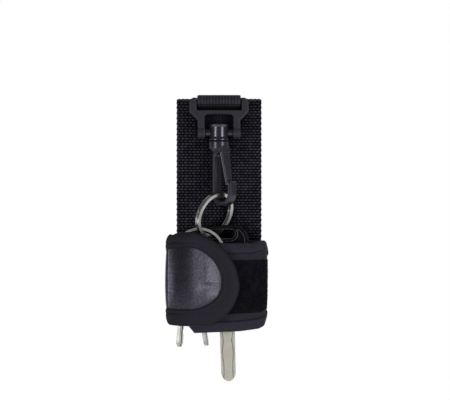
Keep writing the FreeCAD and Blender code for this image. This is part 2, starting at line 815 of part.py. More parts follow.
def flap_patch():
    return strip(-1, 1, -PATCH_THICKNESS, 0, WRAP_RIGHT).common(through_depth(patch_outline()))


def flap_binding():
    band = strip(-1, 1, -BINDING_THICKNESS, 0, WRAP_RIGHT).common(through_depth(flap_outline()))
    return band.cut(through_depth(patch_outline(PATCH_SEAM)))


def flap_hook_field():
    field = strip(-1, 1, FLAP_THICKNESS, FLAP_THICKNESS + PILE_THICKNESS, WRAP_RIGHT)
    return field.common(box(*HOOK_FIELD_X, forward(WRAP_DEPTH), forward(0), *HOOK_FIELD_Z))


# The wing folds in first, from the right
def wing_panel():
    return strip(1, 1, 0, WING_THICKNESS, WRAP_LEFT).common(through_depth(wing_outline()))


def wing_binding(which):
    band = strip(1, 1, -BINDING_THICKNESS, 0, WRAP_LEFT)
    return band.common(edge_bands(wing_outline, BINDING_WIDTH)[which])


def wing_loop_field():
    field = strip(1, 1, -PILE_THICKNESS, 0, LOOP_LEFT)
    for shift in (-LOOP_TOP_INSET, LOOP_BOTTOM_INSET):
        field = field.common(through_depth(wing_outline(shift)))
    return field


SUB_COMPONENTS = {
    "belt_loop_webbing": belt_loop_webbing(),
    "hanger_strap": hanger_strap(),
    "hook_frame": hook_frame(),
    "swivel_barrel": swivel_barrel(),
    "snap_hook": snap_hook(),
    "hook_gate": hook_gate(),
    "main_split_ring": main_split_ring(),
    "left_split_ring": left_split_ring(),
    "car_key_head": car_key_head(),
    "car_key_blade": car_key_blade(),
    "left_small_key": left_small_key(),
    "middle_small_key": middle_small_key(),
    "wrap_back": wrap_back(),
    "back_binding_top": back_binding(0),
    "back_binding_bottom": back_binding(1),
    "flap_panel": flap_panel(),
    "flap_patch": flap_patch(),
    "flap_binding": flap_binding(),
    "flap_hook_field": flap_hook_field(),
    "wing_panel": wing_panel(),
    "wing_loop_field": wing_loop_field(),
    "wing_binding_top": wing_binding(0),
    "wing_binding_bottom": wing_binding(1),
}

os.makedirs("parts", exist_ok=True)
for name, shape in SUB_COMPONENTS.items():
    shape.exportStep(f"parts/{name}.step")
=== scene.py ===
"""Looks of the belt key clip, piece by piece in the order that it is put together.

Sizes are millimetres in the frame's axes, +Z up and -Y the front, until a mesh is made in metres.
"""

import bpy
import numpy as np
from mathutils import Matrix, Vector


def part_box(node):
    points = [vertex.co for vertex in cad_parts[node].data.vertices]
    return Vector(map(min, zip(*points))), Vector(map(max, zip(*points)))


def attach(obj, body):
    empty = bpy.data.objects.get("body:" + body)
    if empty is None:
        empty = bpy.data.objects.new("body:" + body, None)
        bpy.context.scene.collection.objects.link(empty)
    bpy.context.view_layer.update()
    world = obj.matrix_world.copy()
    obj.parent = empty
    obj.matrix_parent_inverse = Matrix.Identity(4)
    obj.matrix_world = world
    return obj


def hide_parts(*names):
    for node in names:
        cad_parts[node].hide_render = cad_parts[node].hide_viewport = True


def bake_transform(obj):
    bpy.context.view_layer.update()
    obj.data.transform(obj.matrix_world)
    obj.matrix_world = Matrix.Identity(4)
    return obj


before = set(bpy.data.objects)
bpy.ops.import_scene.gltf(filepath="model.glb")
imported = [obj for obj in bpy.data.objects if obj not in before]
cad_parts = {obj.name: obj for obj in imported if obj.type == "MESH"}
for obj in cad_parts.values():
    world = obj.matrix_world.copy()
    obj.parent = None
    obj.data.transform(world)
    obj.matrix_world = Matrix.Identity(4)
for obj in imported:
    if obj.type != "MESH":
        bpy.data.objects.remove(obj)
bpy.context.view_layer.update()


# Belt loop: one length of 50 mm nylon webbing, whose cords float over the weft in staggered rows of
# short dashes. It runs up the front, turns over the belt and comes down the back, where its end
# steps forward and is sewn onto the front leg.
MM = 0.001
WEBBING_THICKNESS = 2.0
WEBBING_COLUMN, WEBBING_ROW, WEBBING_RELIEF = 2.36, 1.57, 0.5
TUNNEL_BOTTOM, LAP_TOP, LAP_END = -24.5, -34.0, -50.5
WEAVE_STEPS, FAR_FACE_SHIFT = 4, 0.5
DASH_POWER, ROW_POWER = 0.5, 0.9
SELVEDGE_POWER, SELVEDGE_THINNING, WEFT_TURN = 40, 0.55, 0.3
CREASE_WIDTH, CREASE_DEPTH = 0.3, 0.25
COOL_TINT = (0.84, 0.8, 1.0, 1.0)
SKY_SHUT, SKY_OPEN = 0.45, 0.9
SHADER_SAMPLES = 8


def solid_box(name):
    """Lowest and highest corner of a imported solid, in millimetres."""
    return [np.array(corner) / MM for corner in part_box(name)]


def eased(share):
    """Rises from 0 to 1 with level ends: three shares squared less two shares cubed, clipped outside."""
    share = np.clip(share, 0.0, 1.0)
    return share * share * (3.0 - 2.0 * share)


def spread(corners, shares):
    """Points of a polyline at shares of its length."""
    sides = np.linalg.norm(np.diff(corners, axis=0), axis=1)
    lengths = np.concatenate([[0.0], np.cumsum(sides)])
    run = np.asarray(shares) * lengths[-1]
    return np.column_stack([np.interp(run, lengths, axis) for axis in np.transpose(corners)])


def even_steps(corners, pitch):
    """Points at an even pitch along a polyline, with the run along it to each of them first."""
    length = np.linalg.norm(np.diff(corners, axis=0), axis=1).sum()
    shares = np.linspace(0.0, 1.0, int(round(length / pitch)) + 1)
    return shares * length, spread(corners, shares)


def directions(run, line):
    """Unit directions along a line of points."""
    along = np.gradient(line, run, axis=0)
    return along / np.linalg.norm(along, axis=1, keepdims=True)


def ring_faces(rings, points):
    """Quads between neighbouring closed rings of points, and a cap on the first and last ring."""
    index = np.arange(rings * points).reshape(rings, points)
    ahead = np.roll(index, -1, axis=1)
    quads = np.stack([index[:-1], ahead[:-1], ahead[1:], index[1:]], axis=-1).reshape(-1, 4)
    return quads.tolist() + [index[0, ::-1].tolist(), index[-1].tolist()]


def mesh_piece(name, points, faces, uv=None, **values):
    """A smooth mesh from points in millimetres, with one UV pair and any named values at each point.

    A shape whose faces enclose a negative volume is turned outside out.
    """
    points = np.asarray(points, float).reshape(-1, 3)
    first, second, third = points[np.array([face[:3] for face in faces]).T]
    if np.einsum("ij,ij->", first, np.cross(second, third)) < 0:
        faces = [face[::-1] for face in faces]
    mesh = bpy.data.meshes.new(name)
    mesh.from_pydata((points * MM).tolist(), [], faces)
    mesh.polygons.foreach_set("use_smooth", np.ones(len(faces), bool))
    if uv is not None:
        corner_points = np.empty(len(mesh.loops), np.int32)
        mesh.loops.foreach_get("vertex_index", corner_points)
        mesh.uv_layers.new(name="UVMap").uv.foreach_set("vector", np.asarray(uv)[corner_points].ravel())
    for value_name, value in values.items():
        mesh.attributes.new(value_name, "FLOAT", "POINT").data.foreach_set("value", np.ravel(value))
    piece = bpy.data.objects.new(name, mesh)
    bpy.context.scene.collection.objects.link(piece)
    return piece


def belt_loop_line():
    """Middle line of the webbing as (y, z): up the front, half a circle over the tunnel, down the
    back, an eased step forward, and the lap against the front leg."""
    low, high = solid_box("belt_loop_webbing")
    leg = high[1] - WEBBING_THICKNESS / 2
    lap = WEBBING_THICKNESS - leg
    turn = np.linspace(np.pi, 0.0, 40)
    step = np.linspace(0.0, 1.0, 30)
    step_z = TUNNEL_BOTTOM + (LAP_TOP - TUNNEL_BOTTOM) * step
    return np.vstack([
        [[-leg, low[2]]],
        np.column_stack([leg * np.cos(turn), high[2] - high[1] + leg * np.sin(turn)]),
        np.column_stack([leg + (lap - leg) * eased(step), step_z]),
        [[lap, LAP_END]],
    ])


def woven_strip(
    name, line, half_width, thickness, column, row, relief, stagger, row_depth, seed, creases=(),
):
    """Webbing carried along a (y, z) line, as one closed section ring after another.

    The relief is the product of two cosines, each raised to a power, one to a column across and one
    to a row along, and every other row is shifted by the stagger. A lower row depth weakens the rows
    until only ribs are left. Both faces are woven. The selvedges are thinned to a round and stand out
    at every other row, where the weft turns back. At each crease, a run along the line, the faces
    sink on a bell curve. The float height is kept as the thread value, which the material turns into
    painted shade and highlight, and a crease lowers it to paint shade along the crease.
    """
    run, middle = even_steps(line, row / WEAVE_STEPS)
    along = directions(run, middle)
    face = np.linspace(-1.0, 1.0, int(2 * half_width / column * WEAVE_STEPS) + 1)
    across = np.concatenate([face, face[::-1]])
    side = np.repeat([1.0, -1.0], len(face))
    row_number = np.floor(run / row)[:, None]
    lane = across * half_width / column + FAR_FACE_SHIFT * (side < 0) + stagger * (row_number % 2)
    from_row_middle = run[:, None] / row - row_number - 0.5
    dash = np.cos(np.pi * (lane - np.round(lane))) ** DASH_POWER
    rib = 1 - row_depth + row_depth * np.cos(np.pi * from_row_middle) ** ROW_POWER
    creased = np.exp(-((np.subtract.outer(run, creases) / CREASE_WIDTH) ** 2)).sum(axis=1)[:, None]
    # a crease lowers the float height too, so the material paints shade along it
    float_height = dash * rib * (1 - np.minimum(creased, 1.0))
    selvedge = np.abs(across) ** SELVEDGE_POWER
    sunk = relief * (1 - float_height) + CREASE_DEPTH * creased
    lift = side * (thickness / 2 - sunk) * (1 - SELVEDGE_THINNING * selvedge)
    nip = WEFT_TURN * relief * np.cos(np.pi * run / row)[:, None] * selvedge
    x = across * (half_width - WEFT_TURN * relief + nip)
    points = np.stack([
        x,
        middle[:, :1] - along[:, 1:] * lift,
        middle[:, 1:] + along[:, :1] * lift,
    ], axis=-1)
    tones = np.random.default_rng(seed).random((int(row_number.max()) + 1, 4 * len(face)))
    tone = tones[row_number.astype(int), np.round(lane).astype(int)]
    uv = np.stack(np.broadcast_arrays(x, run[:, None]), axis=-1).reshape(-1, 2)
    return mesh_piece(name, points, ring_faces(*float_height.shape), uv, thread=float_height, tone=tone)


def finish(name, **sockets):
    """A material with these constants on its shader's own sockets, spaces written as underscores."""
    made = bpy.data.materials.new(name)
    made.use_nodes = True
    for socket, value in sockets.items():
        made.node_tree.nodes["Principled BSDF"].inputs[socket.replace("_", " ")].default_value = value
    return made


def node(material, kind, inputs, **settings):
    """Adds a shader node; each input is a constant, or another node's output to join to it."""
    made = material.node_tree.nodes.new("ShaderNode" + kind)
    for setting, value in settings.items():
        setattr(made, setting, value)
    for socket, value in inputs.items():
        if isinstance(value, bpy.types.NodeSocket):
            material.node_tree.links.new(value, made.inputs[socket])
        else:
            made.inputs[socket].default_value = value
    return made


def drive(material, **outputs):
    """Joins outputs to the shader's sockets, spaces written as underscores."""
    shader = material.node_tree.nodes["Principled BSDF"]
    for socket, output in outputs.items():
        material.node_tree.links.new(output, shader.inputs[socket.replace("_", " ")])


def shades(material, value, *stops):
    """Colours of a value between 0 and 1, from (position, colour) stops."""
    ramp = node(material, "ValToRGB", {"Fac": value})
    elements = ramp.color_ramp.elements
    while len(elements) < len(stops):
        elements.new(0.5)
    for element, (position, colour) in zip(elements, stops):
        element.position = position
        element.color = (*colour, 1.0)
    return ramp.outputs["Color"]


def scaled(material, value, low, high, start=0.0, end=1.0):
    """A value that runs from low to high as another runs from start to end, and stops there."""
    inputs = {"Value": value, "From Min": start, "From Max": end, "To Min": low, "To Max": high}
    return node(material, "MapRange", inputs).outputs["Result"]


def product(material, one, other):
    """Two values multiplied."""
    return node(material, "Math", {0: one, 1: other}, operation="MULTIPLY").outputs["Value"]


def noise(material, place, scale, detail=3.0, **inputs):
    """Cloudy noise between 0 and 1, scale blobs to a unit of place."""
    wanted = {"Vector": place, "Scale": scale, "Detail": detail, **inputs}
    return node(material, "TexNoise", wanted).outputs["Fac"]


def bumped(material, height, strength, distance, **inputs):
    """Normals tilted by a height, whose full step is a distance in millimetres."""
    wanted = {"Height": height, "Strength": strength, "Distance": distance * MM, **inputs}
    return node(material, "Bump", wanted).outputs["Normal"]


def named_value(material, name):
    """A value that the mesh holds at its points."""
    return node(material, "Attribute", {}, attribute_name=name).outputs["Fac"]


def open_sky(material, reach, low, high):
    """A value that runs from low to high with the share of the sky that is open within a reach."""
    sky = node(material, "AmbientOcclusion", {"Distance": reach * MM}, samples=SHADER_SAMPLES)
    return scaled(material, sky.outputs["AO"], low, high, SKY_SHUT, SKY_OPEN)


def woven_nylon(name, crevice, cord, bright):
    """Black nylon cords: painted shade between the floats and a painted highlight on their tops, with fine
    filaments that run along the strip, a different tone for each float, and painted shade where other
    parts close off the sky within 7 mm."""
    made = finish(name, Specular_Tint=COOL_TINT)
    strip = node(made, "UVMap", {}).outputs["UV"]
    place = node(made, "Mapping", {"Vector": strip, "Scale": (7.0, 0.7, 1.0)}).outputs["Vector"]
    filament = noise(made, place, 1.0)
    level = product(made, named_value(made, "thread"), scaled(made, filament, 0.6, 1.25))
    level = product(made, level, scaled(made, named_value(made, "tone"), 0.7, 1.0))
    # painted shade where the frame, the wrap and the keys close off the sky within 7 mm
    level = product(made, level, open_sky(made, 7.0, 0.25, 1.0))
    drive(
        made,
        # the crevice colour is painted shade and the bright colour a painted highlight; the cord colour is
        # the nylon's own
        Base_Color=shades(made, level, (0.15, crevice), (0.4, cord), (0.75, bright)),
        Specular_IOR_Level=scaled(made, level, 0.02, 0.35, 0.2, 0.7),
        Roughness=scaled(made, filament, 0.4, 0.65),
        Normal=bumped(made, filament, 0.5, 0.05),
    )
    return made


loop_low, loop_high = solid_box("belt_loop_webbing")
belt_loop = woven_strip(
    "belt_loop", belt_loop_line(), loop_high[0], WEBBING_THICKNESS,
    WEBBING_COLUMN, WEBBING_ROW, WEBBING_RELIEF, stagger=0.35, row_depth=1.0, seed=3,
)
# the webbing's crevice and bright colours are painted shade and a painted highlight
belt_loop.data.materials.append(woven_nylon(
    "webbing_nylon", crevice=(0.0012, 0.0012, 0.0016), cord=(0.009, 0.0085, 0.0119),
    bright=(0.04, 0.038, 0.052),
))
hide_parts("belt_loop_webbing")
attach(belt_loop, "belt_loop")


# Hanger strap: 25 mm nylon strap of fine ribs. It leaves the webbing behind the frame, goes over the
# frame's bar and back under it, and both ends are sewn flat to the webbing.
STRAP_THICKNESS, STRAP_FIT = 1.6, 0.2
STRAP_COLUMN, STRAP_ROW, STRAP_RELIEF = 1.8, 1.0, 0.09
STRAP_LEAVES, STRAP_INNER_END, STRAP_TAIL = 19.8, 11.0, 2.5
# heights of the strap's creases, each sunk and darkened with painted shade
STRAP_CREASES = (24.2,)
BAR_Z, BAR_RADIUS = 26.2, 1.7
FINE_PITCH, STRAP_ROUNDING = 0.1, 10


def rounded(line, steps):
    """A line whose inner points are the mean of their neighbours within some steps each way."""
    window = np.ones(2 * steps + 1) / (2 * steps + 1)
    smooth = np.array(line)
    for axis in range(2):
        smooth[steps:-steps, axis] = np.convolve(line[:, axis], window, mode="valid")
    return smooth


def hanger_strap_line():
    """Middle line of the strap as (y, z): two feet on the webbing, each with a straight run that is
    tangent to a circle round the bar, and the arc between the two tangent points. A running mean
    rounds the feet's corners."""
    frame_low, frame_high = solid_box("hook_frame")
    outer_end = solid_box("hanger_strap")[0][2] + STRAP_TAIL
    bar = np.array([loop_low[1] - (frame_low[1] + frame_high[1]) / 2, BAR_Z])
    radius = BAR_RADIUS + STRAP_FIT + STRAP_THICKNESS / 2
    feet, touches = [], []
    for layer, side in ((0.5, 1.0), (1.5, -1.0)):
        foot = np.array([layer * STRAP_THICKNESS, STRAP_LEAVES])
        reach = bar - foot
        swing = np.arctan2(reach[1], reach[0]) + side * np.arcsin(radius / np.linalg.norm(reach))
        feet.append(foot)
        touches.append(swing + side * np.pi / 2)
    turn = np.linspace(touches[0], touches[1], 60)
    round_bar = bar + radius * np.column_stack([np.cos(turn), np.sin(turn)])
    corners = np.vstack([
        [[feet[0][0], STRAP_INNER_END]], feet[0], round_bar, feet[1], [[feet[1][0], outer_end]],
    ])
    line = rounded(even_steps(corners, FINE_PITCH)[1], STRAP_ROUNDING)
    return np.column_stack([loop_low[1] - line[:, 0], line[:, 1]])


strap_run, strap_middle = even_steps(hanger_strap_line(), FINE_PITCH)
outer_leg = strap_run > strap_run[strap_middle[:, 1].argmax()]
crease_runs = np.interp(STRAP_CREASES, strap_middle[outer_leg, 1][::-1], strap_run[outer_leg][::-1])
hanger_strap = woven_strip(
    "strap_weave", strap_middle, solid_box("hanger_strap")[1][0], STRAP_THICKNESS,
    STRAP_COLUMN, STRAP_ROW, STRAP_RELIEF, stagger=0.0, row_depth=0.3, seed=5, creases=crease_runs,
)
# the strap's crevice and bright colours are painted shade and a painted highlight
hanger_strap.data.materials.append(woven_nylon(
    "strap_nylon", crevice=(0.01, 0.0095, 0.0133), cord=(0.021, 0.02, 0.028), bright=(0.0285, 0.027, 0.0372),
))
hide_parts("hanger_strap")
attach(hanger_strap, "belt_loop")


# Hook frame, swivel barrel, snap hook and gate: moulded black plastic. The frame hangs on the strap
# by its bar, the barrel turns on trunnions in the frame's legs, the hook's stem turns in the barrel,
# and the gate is a sprung tongue at the hook's collar.
EDGE_TURNED, EDGE_FLAT, FACING_FADE = 0.75, 0.97, 0.1


def off_edges(material, soft_edge, low, high):
    """A value that runs from low at the edges, where the rounded normal departs from the flat face's,
    to high away from them."""
    flat = node(material, "NewGeometry", {}).outputs["True Normal"]
    along = node(material, "VectorMath", {0: soft_edge, 1: flat}, operation="DOT_PRODUCT").outputs["Value"]
    return scaled(material, along, low, high, EDGE_TURNED, EDGE_FLAT)


def facing(material, normal, direction, start):
    """A value that rises from 0 to 1 as a normal comes round to a direction of the piece's own axes,
    from the start, the cosine of the angle between them."""
    own = node(material, "VectorTransform", {"Vector": normal}, vector_type="NORMAL").outputs["Vector"]
    along = node(material, "VectorMath", {0: own, 1: direction}, operation="DOT_PRODUCT").outputs["Value"]
    return scaled(material, along, 0.0, 1.0, start, start + FACING_FADE)


def rounded_edge(material, radius):
    """Normals that turn over an edge within a radius, as if the edge were round."""
    return node(material, "Bevel", {"Radius": radius * MM}, samples=SHADER_SAMPLES).outputs["Normal"]


def moulded_plastic(
    name, colour, lighter_colour, roughness, round_edge, specular, rubbed=None, highlight_facing_start=0.74, crevice=1.5,
):
    """Moulded plastic: a fine matt grain, soft mottling, edges rounded and lightened, partly polish from use
    and partly a painted highlight, and no gloss in crevices of a given reach. A direction that is rubbed
    keeps the painted edge highlight to the edges that face that side."""
    made = finish(name, Specular_Tint=COOL_TINT)
    place = node(made, "TexCoord", {}).outputs["Object"]
    mottle = noise(made, place, 420.0, 4.0)
    grain = noise(made, place, 5200.0, 2.0)
    soft_edge = rounded_edge(made, round_edge)
    # painted highlight along the edges, partly polish from use
    edge_polish_and_highlight = product(made, off_edges(made, soft_edge, 1.0, 0.0), scaled(made, mottle, 0.7, 1.3))
    # a rubbed direction keeps the painted edge highlight to the edges that face it
    if rubbed:
        edge_polish_and_highlight = product(made, edge_polish_and_highlight, facing(made, soft_edge, rubbed, highlight_facing_start))
    drive(
        made,
        Base_Color=shades(made, edge_polish_and_highlight, (0.0, colour), (1.0, lighter_colour)),
        Specular_IOR_Level=open_sky(made, crevice, 0.0, specular),
        Roughness=scaled(made, mottle, roughness - 0.07, roughness + 0.07),
        Normal=bumped(made, grain, 0.12, 0.03, Normal=soft_edge),
    )
    return made


def wear_finish(name, material):
    """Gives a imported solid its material."""
    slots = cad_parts[name].data.materials
    slots.clear()
    slots.append(material)


# the frame's lighter colour is a painted highlight on its edges that face right and forward
satin_plastic = moulded_plastic(
    "satin_plastic", colour=(0.0265, 0.0256, 0.0315), lighter_colour=(0.22, 0.215, 0.24), roughness=0.48,
    round_edge=0.5, specular=0.4, rubbed=(0.7, -0.7, 0.0),
)
barrel_plastic = moulded_plastic(
    "barrel_plastic", colour=(0.0115, 0.011, 0.0155), lighter_colour=(0.03, 0.0285, 0.037), roughness=0.27,
    round_edge=0.2, specular=1.2, crevice=8.0,
)
glossy_plastic = moulded_plastic(
    "glossy_plastic", colour=(0.0145, 0.0139, 0.0187), lighter_colour=(0.04, 0.038, 0.049), roughness=0.32,
    round_edge=0.6, specular=0.85,
)
# the gate's near-white lighter colour is a painted highlight on its left-facing edges
gate_plastic = moulded_plastic(
    "gate_plastic", colour=(0.0165, 0.0157, 0.0212), lighter_colour=(0.9, 0.88, 0.95), roughness=0.3,
    round_edge=1.0, specular=0.85, rubbed=(-1.0, 0.0, 0.0), highlight_facing_start=0.36,
)
wear_finish("hook_frame", satin_plastic)
wear_finish("swivel_barrel", barrel_plastic)
wear_finish("snap_hook", glossy_plastic)
wear_finish("hook_gate", gate_plastic)


# Split rings: two turns of flattened steel wire, nickel plated. The main ring hangs in the hook's
# eye, and the thinner left ring hangs on it and carries the small keys.
def plated_steel(name, bright, dull, painted_shade, roughness, round_edge, edge_level=1.0):
    """Nickel plate: rounded edges, faint hairlines, dull patches where it has rubbed, and painted shade in
    the corners that little light reaches and on the edges. The edge level is the share of the plate left
    on edges; the rest there is painted shade."""
    made = finish(name, Metallic=1.0)
    place = node(made, "TexCoord", {}).outputs["Object"]
    rub = noise(made, place, 260.0, 4.0)
    hairline = noise(made, place, 1600.0, 2.0, Distortion=1.0)
    soft_edge = rounded_edge(made, round_edge)
    plate = shades(made, rub, (0.3, dull), (0.62, bright))
    # painted shade: the colour turns dark in corners where the sky is shut within 1.2 mm and on edges
    unshaded = product(made, open_sky(made, 1.2, 0.0, 1.0), off_edges(made, soft_edge, edge_level, 1.0))
    mixed = node(made, "Mix", {"Factor": unshaded, 6: (*painted_shade, 1.0), 7: plate}, data_type="RGBA")
    drive(
        made,
        Base_Color=mixed.outputs[2],
        Roughness=scaled(made, rub, roughness + 0.08, roughness - 0.04),
        Normal=bumped(made, hairline, 0.03, 0.01, Normal=soft_edge),
    )
    return made


ring_plate = plated_steel(
    "ring_plate", bright=(0.66, 0.65, 0.645), dull=(0.52, 0.51, 0.51), painted_shade=(0.05, 0.047, 0.046),
    roughness=0.23, round_edge=0.14,
)
# the left ring's plate is a brighter copy of the main ring's, a painted highlight over the whole ring
left_plate_painted_highlight = plated_steel(
    "left_plate_painted_highlight", bright=(0.95, 0.94, 0.92), dull=(0.84, 0.83, 0.81), painted_shade=(0.05, 0.047, 0.046),
    roughness=0.4, round_edge=0.14,
)
wear_finish("main_split_ring", ring_plate)
wear_finish("left_split_ring", left_plate_painted_highlight)


# Keys: the car key has a moulded bow on a milled blade, and the two small keys are stamped flat.
# The car key hangs on the main ring by its slot, the small ones on the left ring by their holes.
# the key bow's lighter colour is a painted highlight along its rim edges
bow_plastic = moulded_plastic(
    "key_bow", colour=(0.002, 0.0019, 0.0026), lighter_colour=(0.36, 0.35, 0.38), roughness=0.3,
    round_edge=0.35, specular=0.25,
)
blade_nickel = plated_steel(
    "blade_nickel", bright=(0.79, 0.76, 0.68), dull=(0.72, 0.69, 0.61), painted_shade=(0.07, 0.065, 0.06),
    roughness=0.52, round_edge=0.8, edge_level=0.25,
)
small_key_nickel = plated_steel(
    "small_key_nickel", bright=(0.75, 0.73, 0.71), dull=(0.58, 0.55, 0.52), painted_shade=(0.03, 0.021, 0.019),
    roughness=0.5, round_edge=0.6, edge_level=0.0,
)
wear_finish("car_key_head", bow_plastic)
wear_finish("car_key_blade", blade_nickel)
for key in ("left_small_key", "middle_small_key"):
    wear_finish(key, small_key_nickel)


# Wrap back: the middle of the padded key wrap, laminated nylon over thin foam, sewn flat to the front
# of the webbing. Its sides turn forward into the flap on the left and the wing on the right, and its
# top and bottom edges are bound with folded tape.
BACK_THICKNESS = 2.4
BACK_TAPE_WIDTH = 7.0
TAPE_THICKNESS, TAPE_UNDER = 0.6, 5.0
TAPE_SEAM, TAPE_NOSE, TAPE_INNER_NOSE = 0.35, 0.9, 0.45
SEAM_WIDTH, SEAM_DEPTH, SEAM_PAINTED_DARKNESS = 0.35, 0.36, 0.8
# colour of the painted shade in a seam's groove
SEAM_PAINTED_SHADE = (0.003, 0.0029, 0.004)
PUCKER_WIDTH, PUCKER_DEPTH, PUCKER_BLUR = 1.6, 0.05, 4.0
RAW_EDGE_WIDTH, RAW_EDGE_SINK = 0.5, 0.75
EDGE_ROLL, EDGE_ROLL_WIDTH = 0.6, 5.0
PANEL_ROUNDING, PANEL_THINNEST, PANEL_ROWS = 1.2, 0.1, 50
LAY_GAP = 0.02
WRAP_MIDDLE, WRAP_HALF_HEIGHT = -72.0, 27.0
FOLD_SWELL, FOLD_WAIST = 0.1, 0.65
BACK_FOLD_LENGTH = 8.0
WING_SEAM_STEP = 0.14


def quarter_round(centre, half_axes, squareness):
    """A quarter of the curve where the two shares of its half axes, each raised to the squareness,
    add up to one. It runs from the end of the first half axis to the end of the second."""
    turn = np.linspace(0.0, np.pi / 2, 80)
    shares = np.column_stack([np.cos(turn), np.sin(turn)]) ** (2 / squareness)
    return np.array(centre) + shares * half_axes


def plan_layer(line, outward, fold_length, both_ends=False):
    """A layer of the wrap seen from above: the run along its outer face, the face's line as (x, y),
    the direction out of it, a quarter turn from the line to the side that outward gives, and how
    much of a fold's swelling each point gets, which fades over the fold's length. The fold is at the
    line's start, or at both ends."""
    run, line = even_steps(line, FINE_PITCH)
    along = directions(run, line)
    from_fold = np.minimum(run, run[-1] - run) if both_ends else run
    out = outward * np.column_stack([along[:, 1], -along[:, 0]])
    return run, line, out, 1 - eased(from_fold / fold_length)


def on_layer(layer, run, lift, z):
    """Points at a run along a layer and a height, lifted off its outer face. Near a fold they stand
    out by the swell at mid-height, and draw in with the square of the distance from there."""
    runs, line, out, swell = layer
    drawn = FOLD_SWELL - FOLD_WAIST * ((z - WRAP_MIDDLE) / WRAP_HALF_HEIGHT) ** 2
    pillow = drawn * np.interp(run, runs, swell)
    x, y = (
        np.interp(run, runs, line[:, axis]) + (lift + pillow) * np.interp(run, runs, out[:, axis])
        for axis in (0, 1)
    )
    return np.stack(np.broadcast_arrays(x, y, z), axis=-1)


def laid(layer, corners, shares):
    """An edge drawn as (x, z) from the front, laid on a layer as (run, z) at shares of its length."""
    runs, line = layer[:2]
    fine = even_steps(np.array(corners), FINE_PITCH)[1]
    order = np.argsort(line[:, 0], kind="stable")
    run = np.interp(fine[:, 0], line[order, 0], runs[order])
    return spread(np.column_stack([run, fine[:, 1]]), shares)


def soft_noise(shape, cells, seed):
    """Seeded noise of mean 0 and spread 1, blurred by a bell curve of the given number of cells."""
    waves = np.fft.rfft2(np.random.default_rng(seed).standard_normal(shape))
    high = np.fft.fftfreq(shape[0])[:, None] ** 2 + np.fft.rfftfreq(shape[1]) ** 2
    blurred = np.fft.irfft2(waves * np.exp(-2 * (np.pi * cells) ** 2 * high) * (high > 0), shape)
    return blurred / blurred.std()


def edge_roll(distance):
    """How far a padded face sinks near its edge: the roll times the square of one less the share of
    its width."""
    return EDGE_ROLL * (1 - np.clip(distance / EDGE_ROLL_WIDTH, 0, 1)) ** 2


def padded_panel(
    name, layer, bottom, top, rows, outer, inner, rounding, crowd=0.8, free_end=False, roll=1.0, **values
):
    """A panel ruled between its bottom and top edges, one column of points for each pair.

    Its faces lie at the outer and inner lifts, numbers or one value a point. The outer face rolls
    off to a free edge, and both close on each other along a quarter ellipse over the rounding. Rows
    crowd towards the edges.
    """
    share = np.linspace(0.0, 1.0, rows)
    share -= crowd * np.sin(2 * np.pi * share) / (2 * np.pi)
    flat = bottom[:, None] + (top - bottom)[:, None] * share[:, None]
    free = np.vstack([bottom, top] + ([flat[-1]] if free_end else [])).astype(np.float32)
    apart = np.linalg.norm(flat[:, :, None].astype(np.float32) - free, axis=-1).min(axis=-1)
    fullness = np.maximum(np.sqrt(1 - (1 - np.clip(apart / rounding, 0, 1)) ** 2), PANEL_THINNEST)
    outer = outer - roll * edge_roll(apart)
    middle = (outer + inner) / 2
    faces = [middle + (face - middle) * fullness for face in (outer, inner)]
    run, z = np.moveaxis(flat, -1, 0)
    rings = np.concatenate([
        on_layer(layer, run, faces[0], z), on_layer(layer, run[:, ::-1], faces[1][:, ::-1], z[:, ::-1]),
    ], axis=1)
    uv = np.concatenate([flat, flat[:, ::-1]], axis=1).reshape(-1, 2)
    values = {key: np.concatenate([value, value[:, ::-1]], axis=1) for key, value in values.items()}
    return mesh_piece(name, rings, ring_faces(*rings.shape[:2]), uv, **values)


